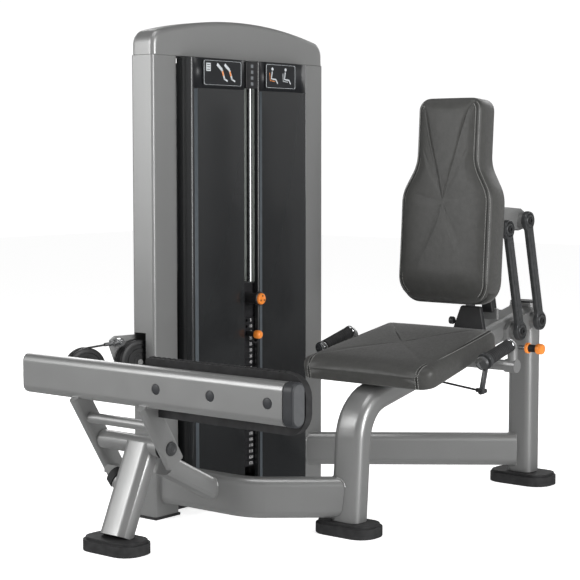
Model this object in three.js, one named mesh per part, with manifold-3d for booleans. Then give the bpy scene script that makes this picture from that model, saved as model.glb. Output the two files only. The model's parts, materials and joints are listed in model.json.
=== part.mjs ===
// Seated calf extension machine: a weight-stack tower, a swinging footplate and an adjustable seat.
// Millimetres, +Z up. The seat faces -Y, the tower stands on the -X side.
// The origin is on the floor under the seat's front post.
import * as THREE from 'three';
import Module from 'manifold-3d';

const wasm = await Module();
wasm.setup();

// ---- driving dimensions ----
const GAP = 0.3; // between pieces that touch
const DEGREE = Math.PI / 180;

const TILT = 12 * DEGREE; // the seat's beam rises towards the back
const TUBE = { wide: 100, deep: 70, corner: 26 }; // the frame's flattened tube
const RAIL = { wide: 58, high: 107, corner: 24, z: 112 };
const BASE = { wide: 62, high: 117, corner: 24, z: 104.5 };

const FRONT_POST = { y: 0, kneeY: 25, kneeZ: 366, bend: 125 };
const REAR_POST = { y: 957, top: 600, wide: 90, deep: 74 };
const LEG_FOOT = { x: -370, y: -564 };
const FOOT = { long: 200, wide: 122, high: 38 };

const TOWER = { front: -541, back: -631, left: -232, right: 566, seam: 1371, apex: 1487 };
const COLUMN = { wide: 102, wall: 5, sole: 8 };
const SLOT_Y = 160; // middle of the slot that shows the weight stack
const SHROUD = { front: -500, lip: -517, slot: 62, outer: 278, thick: 6, bottom: 35, top: 1368 };
const REAR_SHROUD = { back: -738, wall: 5, bottom: 66, top: 1366 };

const STACK = { x: -596, wide: 236, deep: 146, plate: 18, pitch: 18.85, bottom: 105, count: 25 };
const LIFTED = 3; // plates above the selector pin
const ROD = { spread: 98, radius: 9.5, bore: 11 };
const STEM_RADIUS = 11;
const PIN_RADIUS = 4.5;
const HEAD = { high: 108, wide: 196 };

const PIVOT = { y: -457, z: 279 }; // footplate swing axis, along X
const ARM = { wide: 64, thick: 26, corner: 11, lean: 0.62, top: 413 };
const LEFT_ARM = { x: -541, tail: 132 };
const RIGHT_ARM = { x: -278, tail: 52 };
const BAR = { left: -748, right: 212, end: 246, front: -558, deep: 50, high: 114, z: 458 };
const TREAD = { left: -314, right: 246, front: -504, deep: 30, bottom: 372, top: 531 };
const TREAD_CORNER = { left: 8, right: 60 };
const BOLT_X = [-224, -30, 164];
const BOLT_RADIUS = 15;

const PULLEY = { x: -596, radius: 66, width: 30, groove: 6, hub: 16, bore: 9.3 };
const YAW = { angle: 12 * DEGREE, x: -596, y: -175.2 }; // the lower cable run turns about this upright line
const MOVING_PULLEY = { y: -420, z: 459 };
const COLUMN_PULLEY = { y: -239, z: 470 };
const TOP_PULLEY = { radius: 43, z: 1394, width: 24 };
const CABLE_RADIUS = 3;
const ANCHOR = { y: -306, z: 531 };

const SEAT = { frontY: 50, frontZ: 476, front: 466, rear: 388, length: 428, thick: 54, tilt: 11 * DEGREE };
const BACK = { y: 452, z: 630, lean: 3.6 * DEGREE, wide: 330, head: 228, high: 626, thick: 92 };
const LINK = { y: 782, z: 523, topY: 701, topZ: 849, baseY: 121, baseZ: 24, inner: 78, thick: 20 };
const BEAM_Z_AT_LINK = 525; // beam centre height at the front link's lower pivot
const HANDLE = { x: 290, radius: 15, crossY: 407, crossZ: 466, crossRadius: 16, rearZ: 533 };
const HANDLE_FRONT = { y: 240, z: 490 };
const GRIP = { radius: 19, from: 16, length: 128 };
const CRANK = { down: 80, alongY: 240 };
const PULL_RADIUS = 5;
const PULL = { y: 760, z: 474, from: 50, tip: 186 };

// ---- materials ----
const finish = (color, roughness, metalness) => () =>
  new THREE.MeshStandardMaterial({ color, roughness, metalness });
const silver = finish(0x9a9b98, 0.42, 0.55);
const steelDark = finish(0x55585a, 0.5, 0.6);
const gunmetal = finish(0x3c3e40, 0.4, 0.7);
const chrome = finish(0xd5d7da, 0.15, 1);
const black = finish(0x1e2022, 0.5, 0.1);
const gloss = finish(0x232628, 0.25, 0.2);
const rubber = finish(0x2a2b2c, 0.85, 0);
const leather = finish(0x4a4b47, 0.6, 0);
const orange = finish(0xf08a24, 0.4, 0);
const ironPlate = finish(0x2c2d2f, 0.6, 0.4);
const cableCoat = finish(0x151617, 0.45, 0);
const print = finish(0x303438, 0.35, 0);

// ---- solids ----
function solidOf(geometry) {
  const source = geometry.index ? geometry.toNonIndexed() : geometry;
  const values = source.getAttribute('position').array;
  const lookup = new Map();
  const points = [];
  const corners = [];
  for (let i = 0; i < values.length; i += 3) {
    const point = [values[i], values[i + 1], values[i + 2]];
    const key = point.map((v) => Math.round(v * 1e4)).join();
    if (!lookup.has(key)) {
      lookup.set(key, points.length / 3);
      points.push(...point);
    }
    corners.push(lookup.get(key));
  }
  const faces = [];
  for (let i = 0; i < corners.length; i += 3) {
    const [a, b, c] = corners.slice(i, i + 3);
    if (a !== b && b !== c && c !== a) faces.push(a, b, c);
  }
  const build = (list) =>
    new wasm.Manifold(
      new wasm.Mesh({
        numProp: 3,
        vertProperties: new Float32Array(points),
        triVerts: new Uint32Array(list),
      }),
    );
  const solid = build(faces);
  return solid.volume() >= 0 ? solid : build(faces.reverse());
}

function geometryOf(solid) {
  const mesh = solid.getMesh();
  const geometry = new THREE.BufferGeometry();
  geometry.setAttribute('position', new THREE.BufferAttribute(mesh.vertProperties, 3));
  geometry.setIndex(new THREE.BufferAttribute(mesh.triVerts, 1));
  return geometry;
}

const join = (...solids) => solids.reduce((a, b) => a.add(b));
const cut = (solid, ...tools) => tools.reduce((a, b) => a.subtract(b), solid);

// A closed tube of one section along a path that lies in the plane square to `side`.
function sweep(outline, path, side) {
  const flat = outline.map(([s, u]) => new THREE.Vector2(s, u));
  const section = THREE.ShapeUtils.isClockWise(flat) ? [...outline].reverse() : outline;
  const across = new THREE.Vector3(...side).normalize();
  const places = path.map((p) => new THREE.Vector3(...p));
  const rings = places.map((place, i) => {
    const ahead = places[Math.min(i + 1, places.length - 1)].clone().sub(place).normalize();
    const behind = place.clone().sub(places[Math.max(i - 1, 0)]).normalize();
    const along = ahead.clone().add(behind).normalize();
    const up = along.clone().cross(across).normalize();
    const mitre = ahead.lengthSq() && behind.lengthSq() ? 1 / Math.max(0.5, along.dot(ahead)) : 1;
    return section.map(([s, u]) =>
      place.clone().addScaledVector(across, s).addScaledVector(up, u * mitre),
    );
  });
  const values = [];
  const push = (...corners) => corners.forEach((c) => values.push(c.x, c.y, c.z));
  const count = section.length;
  for (let i = 0; i + 1 < rings.length; i += 1) {
    for (let j = 0; j < count; j += 1) {
      const k = (j + 1) % count;
      push(rings[i][j], rings[i][k], rings[i + 1][k]);
      push(rings[i][j], rings[i + 1][k], rings[i + 1][j]);
    }
  }
  const caps = THREE.ShapeUtils.triangulateShape(
    section.map(([s, u]) => new THREE.Vector2(s, u)),
    [],
  );
  for (const [a, b, c] of caps) {
    push(rings[0][a], rings[0][c], rings[0][b]);
    push(rings.at(-1)[a], rings.at(-1)[b], rings.at(-1)[c]);
  }
  const geometry = new THREE.BufferGeometry();
  geometry.setAttribute('position', new THREE.Float32BufferAttribute(values, 3));
  return solidOf(geometry);
}

// Rounded rectangle, centred; the corner may be as large as half a side.
function oval(wide, high, corner, steps = 3) {
  const points = [];
  const centres = [[1, 1], [-1, 1], [-1, -1], [1, -1]];
  centres.forEach(([sx, sy], quarter) => {
    for (let i = 0; i <= steps; i += 1) {
      const angle = (quarter + i / steps) * (Math.PI / 2);
      points.push([
        sx * (wide / 2 - corner) + corner * Math.cos(angle),
        sy * (high / 2 - corner) + corner * Math.sin(angle),
      ]);
    }
  });
  return points;
}

function disc(radius, steps = 16) {
  return Array.from({ length: steps }, (_, i) => [
    radius * Math.cos((2 * Math.PI * i) / steps),
    radius * Math.sin((2 * Math.PI * i) / steps),
  ]);
}

// Puts an arc of `radius` at every inner point of a path.
function rounded(points, radius, steps = 6) {
  const places = points.map((p) => new THREE.Vector3(...p));
  const path = [points[0]];
  for (let i = 1; i + 1 < places.length; i += 1) {
    const back = places[i - 1].clone().sub(places[i]).normalize();
    const on = places[i + 1].clone().sub(places[i]).normalize();
    const half = back.angleTo(on) / 2;
    const reach = radius / Math.tan(half);
    const centre = back.clone().add(on).normalize();
    centre.multiplyScalar(radius / Math.sin(half)).add(places[i]);
    const start = places[i].clone().addScaledVector(back, reach).sub(centre);
    const end = places[i].clone().addScaledVector(on, reach).sub(centre);
    const turn = start.angleTo(end);
    for (let k = 0; k <= steps; k += 1) {
      const t = k / steps;
      const arm = start.clone().multiplyScalar(Math.sin((1 - t) * turn) / Math.sin(turn));
      arm.addScaledVector(end, Math.sin(t * turn) / Math.sin(turn));
      path.push(arm.add(centre).toArray());
    }
  }
  path.push(points.at(-1));
  return path;
}

const box = (x0, x1, y0, y1, z0, z1) =>
  sweep(
    [[y0, z0], [y1, z0], [y1, z1], [y0, z1]].map(([y, z]) => [y - y0, z - z0]),
    [[x0, y0, z0], [x1, y0, z0]],
    [0, 1, 0],
  );

// Bars and rods: between two points of a line along one axis.
const alongX = (section, x0, x1, y, z) => sweep(section, [[x0, y, z], [x1, y, z]], [0, 1, 0]);
const alongZ = (section, x, y, z0, z1) => sweep(section, [[x, y, z0], [x, y, z1]], [1, 0, 0]);

// A flat profile in the YZ plane, given as [y, z], thick from x0 to x1.
function profileYZ(points, x0, x1) {
  return sweep(points, [[x0, 0, 0], [x1, 0, 0]], [0, 1, 0]);
}

// A flat profile in the XY plane, given as [x, y], from z0 to z1.
function profileXY(points, z0, z1) {
  return sweep(points, [[0, 0, z0], [0, 0, z1]], [1, 0, 0]);
}

// Turns a profile of [radius, x] about the X axis, then moves it to (y, z).
function turnedX(profile, y, z, steps = 20) {
  const lathe = new THREE.LatheGeometry(profile.map(([r, x]) => new THREE.Vector2(r, x)), steps);
  lathe.rotateZ(-Math.PI / 2);
  lathe.translate(0, y, z);
  return solidOf(lathe);
}

// Turns a solid of the lower cable run about the upright line in YAW.
function yawed(solid) {
  const geometry = geometryOf(solid);
  geometry.translate(-YAW.x, -YAW.y, 0);
  geometry.rotateZ(-YAW.angle);
  geometry.translate(YAW.x, YAW.y, 0);
  return solidOf(geometry);
}

function yawedPoint([x, y, z]) {
  const [dx, dy] = [x - YAW.x, y - YAW.y];
  const [c, s] = [Math.cos(YAW.angle), Math.sin(YAW.angle)];
  return [YAW.x + c * dx + s * dy, YAW.y - s * dx + c * dy, z];
}

const onBeam = (y) => BEAM_Z_AT_LINK + (y - LINK.y) * Math.tan(TILT);

// ---- frame on the floor ----
function postSection() {
  return oval(TUBE.wide, TUBE.deep, TUBE.corner);
}

function frontPostPath() {
  return rounded(
    [
      [0, FRONT_POST.y, FOOT.high + GAP],
      [0, FRONT_POST.kneeY, FRONT_POST.kneeZ],
      [0, REAR_POST.y, onBeam(REAR_POST.y)],
    ],
    FRONT_POST.bend,
    8,
  );
}

// The front post and seat beam, grown all round, to cut what sits on them.
function beamCutter() {
  const { wide, deep, corner } = TUBE;
  return sweep(oval(wide + 2 * GAP, deep + 2 * GAP, corner), frontPostPath(), [1, 0, 0]);
}

function rearPostSolid(extra) {
  const section = oval(REAR_POST.wide + 2 * extra, REAR_POST.deep + 2 * extra, 24);
  return alongZ(section, 0, REAR_POST.y, FOOT.high + GAP, REAR_POST.top);
}

function frontPost() {
  const path = frontPostPath();
  path[0][2] -= 10;
  const tube = sweep(postSection(), path, [1, 0, 0]);
  const ends = [
    box(-200, 200, REAR_POST.y - 5, REAR_POST.y + 200, 0, 900),
    box(-200, 200, -200, 200, 0, FOOT.high + GAP),
  ];
  return cut(tube, rearPostSolid(GAP), ...ends, handleCross(GAP), ...linkStuds(LINK.y, LINK.z, GAP));
}

function railPath() {
  const slope = (REAR_POST.y - 18 - (TOWER.right - COLUMN.wide / 2)) / -TOWER.front;
  const at = (x) => [x, REAR_POST.y - 18 + x * slope, RAIL.z];
  return [at(-12), at(TOWER.front - 30)];
}

function rearRail() {
  const tube = sweep(oval(RAIL.high, RAIL.wide, RAIL.corner), railPath(), [0, 0, 1]);
  return cut(tube, rearPostSolid(GAP), columnBlock(TOWER.right - COLUMN.wide, GAP));
}

function baseSweep(extra) {
  const columnY = TOWER.left + COLUMN.wide / 2;
  const path = rounded([[0, 8, BASE.z], [-222, columnY, BASE.z], [TOWER.front - 30, columnY, BASE.z]], 130);
  return sweep(oval(BASE.high + 2 * extra, BASE.wide + 2 * extra, BASE.corner), path, [0, 0, 1]);
}

function baseTube() {
  const behind = box(-60, 60, 0, 200, 0, 300);
  return cut(baseSweep(0), beamCutter(), behind, columnBlock(TOWER.left, GAP));
}

function foot(x, y, scale = 1) {
  const outline = oval(FOOT.long * scale, FOOT.wide * scale, FOOT.wide * scale * 0.42, 5);
  const pad = alongZ(outline, x, y, 0, FOOT.high - 8);
  const neckOutline = oval(FOOT.long * scale - 16, FOOT.wide * scale - 16, 42, 5);
  const neck = alongZ(neckOutline, x, y, FOOT.high - 9, FOOT.high);
  return join(pad, neck);
}

// ---- footplate leg with its pivot housing ----
function legTube(extra) {
  const section = oval(TUBE.wide + 2 * extra, 62 + 2 * extra, TUBE.corner);
  return sweep(section, [[LEG_FOOT.x, LEG_FOOT.y, FOOT.high], [LEG_FOOT.x, PIVOT.y, PIVOT.z]], [1, 0, 0]);
}

const HOUSING = { left: -525, right: -297, radius: 27, bore: 17 };
const STUB = { from: [-388, -496, 130], to: [-452, -477, 172], tip: [-474, -470.5, 187] };

function stubSection(wide, high) {
  return oval(wide, high, Math.min(wide, high) / 2 - 1, 3);
}

function footplateLeg() {
  const floor = box(-700, 0, -900, 0, -50, FOOT.high + GAP);
  const housing = alongX(disc(HOUSING.radius), HOUSING.left, HOUSING.right, PIVOT.y, PIVOT.z);
  const stub = sweep(stubSection(38, 46), [STUB.from, STUB.to], [0, 1, 0]);
  const bore = alongX(disc(HOUSING.bore), -700, 0, PIVOT.y, PIVOT.z);
  return cut(join(legTube(0), housing, stub), floor, bore);
}

// Rubber block on the stub, which stops the footplate's return swing.
function stopBumper() {
  const start = STUB.to.map((v, i) => v + 0.02 * (STUB.tip[i] - v));
  return sweep(stubSection(46, 54), [start, STUB.tip], [0, 1, 0]);
}

function brace() {
  const path = [[-352, -396, 217], [-352, -200, 116]];
  const tube = sweep(oval(76, 60, 22), path, [1, 0, 0]);
  const housing = alongX(disc(HOUSING.radius + GAP, 28), -560, -250, PIVOT.y, PIVOT.z);
  return cut(tube, legTube(GAP), housing, baseSweep(GAP));
}

// ---- tower ----
function columnBlock(y0, extra = 0) {
  return box(
    TOWER.back - extra, TOWER.front + extra, y0 - extra, y0 + COLUMN.wide + extra,
    COLUMN.sole + GAP - extra, TOWER.seam + extra,
  );
}

function column(y0) {
  const deep = TOWER.front - TOWER.back;
  const x = (TOWER.front + TOWER.back) / 2;
  const y = y0 + COLUMN.wide / 2;
  const outer = alongZ(oval(deep, COLUMN.wide, 9, 2), x, y, COLUMN.sole + GAP, TOWER.seam);
  const inside = oval(deep - 2 * COLUMN.wall, COLUMN.wide - 2 * COLUMN.wall, 5, 2);
  return cut(outer, alongZ(inside, x, y, 0, TOWER.seam + 10));
}

// The left column carries the fixed pulley's ear and has slots where the cable and pulleys pass.
function leftColumn() {
  const ear = profileYZ(
    [
      [TOWER.left + 6, 420], [-250, 415], [-292, 440], [-308, 480], [-322, 518],
      [-322, 538], [-306, 549], [TOWER.left + 6, 549],
    ],
    PULLEY.x - 23,
    PULLEY.x - 18,
  );
  const axle = alongX(disc(9, 16), PULLEY.x - 20, PULLEY.x + 19, COLUMN_PULLEY.y, COLUMN_PULLEY.z);
  const insideColumn = box(-626, -400, TOWER.left + 1, TOWER.right, 0, TOWER.seam);
  const slot = box(-625.3, -578, TOWER.left - 5, TOWER.left + 20, 392, 556);
  const exit = TOWER.left + COLUMN.wide;
  const top = box(-612, -580, exit - 20, exit + 5, 1330, 1400);
  return join(cut(column(TOWER.left), slot, top), cut(yawed(join(ear, axle)), insideColumn));
}

function sole(y0) {
  return box(TOWER.back - 2, TOWER.front + 2, y0 - 2, y0 + COLUMN.wide + 2, 0, COLUMN.sole);
}

// Front outline of the arched cap, as [y, z]; inset makes the hollow inside it.
function capOutline(inset) {
  const middle = (TOWER.left + TOWER.right) / 2;
  const half = (TOWER.right - TOWER.left) / 2 - inset;
  const corner = 46 - inset;
  const shoulder = TOWER.apex - 40 - inset;
  const points = [[middle - half, TOWER.seam + GAP - (inset ? 5 : 0)]];
  const steps = 5;
  for (let i = 0; i <= steps; i += 1) {
    const angle = (i / steps) * 78 * DEGREE;
    points.push([middle - half + corner * (1 - Math.cos(angle)), shoulder - corner * (1 - Math.sin(angle))]);
  }
  const reach = half - corner * (1 - Math.cos(78 * DEGREE));
  const low = points.at(-1)[1];
  for (let i = 1; i < 8; i += 1) {
    const t = i / 8;
    points.push([middle - reach * (1 - t), low + (TOWER.apex - inset - low) * (2 * t - t * t)]);
  }
  const mirrored = points.map(([y, z]) => [2 * middle - y, z]).reverse();
  return [...points, [middle, TOWER.apex - inset], ...mirrored];
}

function topCap() {
  const shell = profileYZ(capOutline(0), TOWER.back, TOWER.front);
  const hollow = profileYZ(capOutline(7), TOWER.back + 7, TOWER.front - 7);
  const [ribBack, ribFront] = [TOWER.back + 3, TOWER.front - 3];
  const rib = box(ribBack, ribFront, SLOT_Y - 130, SLOT_Y + 130, TOWER.seam + 1, TOWER.seam + 9);
  const holes = [-1, 1].map((s) =>
    alongZ(disc(ROD.radius + GAP), STACK.x, SLOT_Y + s * ROD.spread, 1300, 1450),
  );
  const pulley = box(-611, -581, SLOT_Y - 110, SLOT_Y + 20, 1340, 1400);
  return join(cut(shell, hollow), cut(rib, ...holes, pulley));
}

function towerBase() {
  const y0 = TOWER.left + COLUMN.wide + GAP;
  const y1 = TOWER.right - COLUMN.wide - GAP;
  const bar = box(-690, TOWER.front - 15, y0, y1, 12, 60);
  const buffers = [-1, 1].map((s) =>
    alongZ(disc(24), STACK.x, SLOT_Y + s * ROD.spread, 59, STACK.bottom - GAP),
  );
  const holes = [-1, 1].map((s) =>
    alongZ(disc(ROD.radius + GAP), STACK.x, SLOT_Y + s * ROD.spread, 30, 200),
  );
  return cut(join(bar, ...buffers), ...holes);
}

function guideRod(side) {
  return alongZ(disc(ROD.radius), STACK.x, SLOT_Y + side * ROD.spread, 30 + GAP, TOWER.seam + 5);
}

// Plan outline of half the front shroud, as [x, y] with y measured outwards from the slot.
function frontShroud(side) {
  const near = SHROUD.slot / 2;
  const far = SHROUD.outer;
  const t = SHROUD.thick;
  const back = TOWER.front - 14;
  const outer = [[SHROUD.lip, near], [-505, near], [SHROUD.front, near + 5]];
  const bulge = 6;
  for (let i = 1; i <= 5; i += 1) {
    const s = i / 6;
    outer.push([SHROUD.front + bulge * 4 * s * (1 - s), near + 5 + (far - near - 19) * s]);
  }
  outer.push([SHROUD.front, far - 14], [SHROUD.front - 6, far - 4], [SHROUD.front - 16, far], [back, far]);
  const inner = [[back, far - t], [SHROUD.front - 17, far - t], [SHROUD.front - t - 1, far - 17]];
  inner.push([SHROUD.front - t, near + t + 2], [SHROUD.lip, near + t]);
  const outline = [...outer, ...inner].map(([x, y]) => [x, SLOT_Y + side * y]);
  return profileXY(outline, SHROUD.bottom, SHROUD.top);
}

function rearShroud() {
  const y0 = TOWER.left + COLUMN.wide + 2;
  const y1 = TOWER.right - COLUMN.wide - 2;
  const middle = (y0 + y1) / 2;
  const curve = (inset) => {
    const half = (y1 - y0) / 2 - inset;
    const list = [[TOWER.back + 20, middle - half]];
    for (let i = 0; i <= 12; i += 1) {
      const angle = (i / 12) * Math.PI;
      const y = middle - half * Math.sign(Math.cos(angle)) * Math.abs(Math.cos(angle)) ** 0.5;
      list.push([-660 + (REAR_SHROUD.back + inset + 660) * Math.sin(angle) ** 0.7, y]);
    }
    list.push([TOWER.back + 20, middle + half]);
    return list;
  };
  const outline = [...curve(0), ...curve(REAR_SHROUD.wall).reverse()];
  return profileXY(outline, REAR_SHROUD.bottom, REAR_SHROUD.top);
}

function placard(side, wide, high, z) {
  const y = SLOT_Y + side * (SHROUD.slot / 2 + 24 + wide / 2);
  return alongX(oval(wide, high, 8, 2), SHROUD.front + 6.4, SHROUD.front + 8.4, y, z);
}

// ---- weight stack ----
const plateBottom = (fromBottom) => STACK.bottom + fromBottom * STACK.pitch;
const PIN_Z = plateBottom(STACK.count - LIFTED) + STACK.plate / 2;
const STACK_TOP = plateBottom(STACK.count - 1) + STACK.plate;

function stackHoles(z0, z1) {
  const rods = [-1, 1].map((s) => alongZ(disc(ROD.bore), STACK.x, SLOT_Y + s * ROD.spread, z0, z1));
  return [...rods, alongZ(disc(STEM_RADIUS + 1), STACK.x, SLOT_Y, z0, z1)];
}

function pinHole(z) {
  return alongX(disc(PIN_RADIUS + 0.6, 12), STACK.x - 16, STACK.x + STACK.deep, SLOT_Y, z);
}

function plateBlock(z0, z1) {
  return alongZ(oval(STACK.deep, STACK.wide, 10, 2), STACK.x, SLOT_Y, z0, z1);
}

function weightPlate(fromBottom) {
  const z = plateBottom(fromBottom);
  const solid = plateBlock(z, z + STACK.plate);
  return cut(solid, ...stackHoles(z - 5, z + 30), pinHole(z + STACK.plate / 2));
}

// Plates below the pin rest on one another; thin gaps show where they part.
function restingPlates() {
  const last = STACK.count - LIFTED - 1;
  const top = plateBottom(last) + STACK.plate;
  const core = alongZ(oval(STACK.deep - 10, STACK.wide - 10, 8, 1), STACK.x, SLOT_Y, STACK.bottom, top);
  let solid = core;
  for (let i = 0; i <= last; i += 1) {
    const z = plateBottom(i);
    const slab = alongZ(oval(STACK.deep, STACK.wide, 8, 1), STACK.x, SLOT_Y, z, z + STACK.plate);
    solid = join(solid, slab);
  }
  return cut(solid, ...stackHoles(STACK.bottom - 10, top + 10));
}

function headPlate() {
  const z = STACK_TOP + 0.5;
  const block = alongZ(oval(STACK.deep - 4, HEAD.wide + 28, 10, 2), STACK.x, SLOT_Y, z, z + 26);
  const cheek = alongZ(oval(92, 120, 14, 2), STACK.x + 24, SLOT_Y, z + 25, z + HEAD.high);
  const stem = alongZ(disc(STEM_RADIUS), STACK.x, SLOT_Y, PIN_Z - 130, z + 10);
  const neck = alongZ(disc(13), STACK.x, SLOT_Y, z + HEAD.high - 30, z + HEAD.high + 34);
  const rods = [-1, 1].map((s) => alongZ(disc(ROD.bore), STACK.x, SLOT_Y + s * ROD.spread, z - 5, z + 200));
  const socket = alongX(disc(9.3, 16), STACK.x + 40, -500, SLOT_Y, z + 62);
  const cross = alongX(disc(PIN_RADIUS + 0.6, 12), STACK.x - 20, STACK.x + 90, SLOT_Y, PIN_Z);
  const cableEnd = alongZ(disc(CABLE_RADIUS + GAP, 12), STACK.x, SLOT_Y, z + HEAD.high + 10, z + 400);
  return cut(join(block, cheek, stem, neck), ...rods, socket, cross, cableEnd);
}

function incrementDial() {
  const z = STACK_TOP + 62.5;
  const x = STACK.x + 71;
  return turnedX(
    [
      [0, x - 20], [9, x - 20], [9, x], [17, x], [17, x + 46], [19, x + 50], [19, x + 62],
      [16, x + 68], [0, x + 68],
    ],
    SLOT_Y,
    z,
    24,
  );
}

function selectorPin() {
  const x = STACK.x + STACK.deep / 2;
  return turnedX(
    [
      [0, STACK.x - 12], [PIN_RADIUS, STACK.x - 12], [PIN_RADIUS, x + 8], [9, x + 8], [9, x + 34],
      [12.5, x + 37], [12.5, x + 54], [10, x + 59], [0, x + 59],
    ],
    SLOT_Y,
    PIN_Z,
    20,
  );
}

// ---- cable and pulleys ----
function pulley(radius, width, y, z, bore = 0) {
  const w = width / 2;
  const hub = w + 1;
  const floor = radius - PULLEY.groove;
  const profile = [
    [bore, PULLEY.x - hub], [PULLEY.hub + 6, PULLEY.x - hub], [PULLEY.hub + 6, PULLEY.x - w],
    [radius, PULLEY.x - w], [radius, PULLEY.x - w + 6], [floor, PULLEY.x - 3.4], [floor, PULLEY.x + 3.4],
    [radius, PULLEY.x + w - 6], [radius, PULLEY.x + w], [PULLEY.hub + 6, PULLEY.x + w],
    [PULLEY.hub + 6, PULLEY.x + hub], [bore, PULLEY.x + hub],
  ];
  if (bore) profile.push([bore, PULLEY.x - hub]);
  return turnedX(profile, y, z, 24);
}

function lowerPulley({ y, z }) {
  return yawed(pulley(PULLEY.radius, PULLEY.width, y, z, PULLEY.bore));
}

// Radius at which the cable's middle runs round a pulley.
const LIE = CABLE_RADIUS + 0.8 - PULLEY.groove;
const BIG_TURN = PULLEY.radius + LIE;
const SMALL_TURN = TOP_PULLEY.radius + LIE;
const SIDE_PULLEY_Y = COLUMN_PULLEY.y + BIG_TURN + SMALL_TURN;
const STACK_PULLEY_Y = SLOT_Y - SMALL_TURN;

// The top pulleys turn on their own axles, which reach the cap's walls.
function topPulley(y) {
  const wheel = pulley(TOP_PULLEY.radius, TOP_PULLEY.width, y, TOP_PULLEY.z);
  const axle = alongX(disc(8, 16), TOWER.back + 7 + GAP, TOWER.front - 7 - GAP, y, TOP_PULLEY.z);
  return join(wheel, axle);
}

function arc(centreY, centreZ, radius, from, to, steps) {
  return Array.from({ length: steps + 1 }, (_, i) => {
    const angle = (from + ((to - from) * i) / steps) * DEGREE;
    return [PULLEY.x, centreY + radius * Math.cos(angle), centreZ + radius * Math.sin(angle)];
  });
}

// From the anchor over the moving pulley, back under the column's pulley, up and over to the stack.
function driveCable() {
  const path = [
    yawedPoint([PULLEY.x, ANCHOR.y, ANCHOR.z]),
    ...arc(MOVING_PULLEY.y, MOVING_PULLEY.z, BIG_TURN, 87, 267, 12).map(yawedPoint),
    ...arc(COLUMN_PULLEY.y, COLUMN_PULLEY.z, BIG_TURN, 267, 360, 6).map(yawedPoint),
    ...arc(SIDE_PULLEY_Y, TOP_PULLEY.z, SMALL_TURN, 180, 90, 5),
    ...arc(STACK_PULLEY_Y, TOP_PULLEY.z, SMALL_TURN, 90, 0, 5),
    [PULLEY.x, SLOT_Y, STACK_TOP + HEAD.high + 14],
  ];
  return sweep(disc(CABLE_RADIUS, 8), path, [1, 0, 0]);
}

// Chrome clevis bolt and threaded rod end that hold the cable's fixed end.
function cableAnchor() {
  const bolt = alongX(disc(8, 12), PULLEY.x - 18 + GAP, PULLEY.x + 16, ANCHOR.y + 8, ANCHOR.z + 1);
  const eye = alongX(disc(12, 16), PULLEY.x - 7, PULLEY.x + 7, ANCHOR.y + 8, ANCHOR.z + 1);
  const away = [0, MOVING_PULLEY.y - ANCHOR.y, -6];
  const length = Math.hypot(...away);
  const at = (d) => [PULLEY.x, ANCHOR.y + (away[1] * d) / length, ANCHOR.z + (away[2] * d) / length];
  const rod = sweep(disc(5.5, 12), [at(-6), at(46)], [1, 0, 0]);
  const nut = sweep(disc(8, 6), [at(14), at(22)], [1, 0, 0]);
  const bore = sweep(disc(CABLE_RADIUS + 1.2, 10), [at(-1.5), at(80)], [1, 0, 0]);
  return yawed(cut(join(bolt, eye, rod, nut), bore));
}

// A clevis from the bar's back to the moving pulley's axle.
function pulleyBracket() {
  const { y, z } = MOVING_PULLEY;
  const outline = [
    [y - 92, z - 30], [y - 40, z - 32], [y + 4, z - 32], [y + 24, z - 14],
    [y + 24, z + 14], [y + 4, z + 28], [y - 92, z + 30],
  ];
  const cheek = (x) => profileYZ(outline, x, x + 5);
  const axle = alongX(disc(9, 16), PULLEY.x - 22, PULLEY.x + 22, y, z);
  const clevis = yawed(join(cheek(PULLEY.x - 25), cheek(PULLEY.x + 20), axle));
  const front = BAR.front + BAR.deep + GAP;
  const web = box(-686, -636, front, front + 8, z - 40, z + 40);
  const beyond = box(-760, -500, -620, front, 300, 600);
  const middle = yawed(box(PULLEY.x - 25, PULLEY.x + 25, y - 92, y - 74, z - 30, z + 30));
  return cut(join(clevis, middle, web), beyond);
}

// ---- swinging footplate ----
const armAt = (z) => PIVOT.y - ARM.lean * (z - PIVOT.z); // the arms' middle line leans forwards

function armPath(x, tail) {
  const along = tail / Math.hypot(1, ARM.lean);
  return [[x, armAt(ARM.top), ARM.top], [x, armAt(PIVOT.z - along), PIVOT.z - along]];
}

function armTube(x, tail) {
  return sweep(oval(ARM.thick, ARM.wide, ARM.corner), armPath(x, tail), [1, 0, 0]);
}

function barSolid(extra) {
  const y = BAR.front + BAR.deep / 2;
  const section = oval(BAR.deep + 2 * extra, BAR.high + 2 * extra, 23 + extra, 5);
  return alongX(section, BAR.left, BAR.right, y, BAR.z);
}

function footplateBar() {
  const bolts = BOLT_X.map((x) =>
    sweep(disc(BOLT_RADIUS), [[x, BAR.front - 5, BAR.z], [x, BAR.front + 4, BAR.z]], [1, 0, 0]),
  );
  return cut(barSolid(0), ...bolts);
}

// Cross tube between the arms, and the lug that meets the stop bumper.
const CROSS = { z: 345, ahead: 8, radius: 15 };
const LUG = { right: -462, back: -414, front: -442.5, bottom: 178, top: 202 };

function leftArm() {
  const y = armAt(CROSS.z) - CROSS.ahead;
  const cross = alongX(disc(CROSS.radius), LEFT_ARM.x, RIGHT_ARM.x - ARM.thick / 2 - GAP, y, CROSS.z);
  const lug = box(LEFT_ARM.x, LUG.right, LUG.front, LUG.back, LUG.bottom, LUG.top);
  const hole = alongX(disc(13 + GAP), -600, LEFT_ARM.x + 40, PIVOT.y, PIVOT.z);
  return cut(join(armTube(LEFT_ARM.x, LEFT_ARM.tail), cross, lug), barSolid(GAP), hole);
}

function rightArm() {
  const hole = alongX(disc(13 + GAP), RIGHT_ARM.x - 40, -200, PIVOT.y, PIVOT.z);
  const notch = treadSlab(-GAP, TREAD.front - GAP, TREAD.front + 60);
  return cut(armTube(RIGHT_ARM.x, RIGHT_ARM.tail), barSolid(GAP), hole, notch);
}

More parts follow.
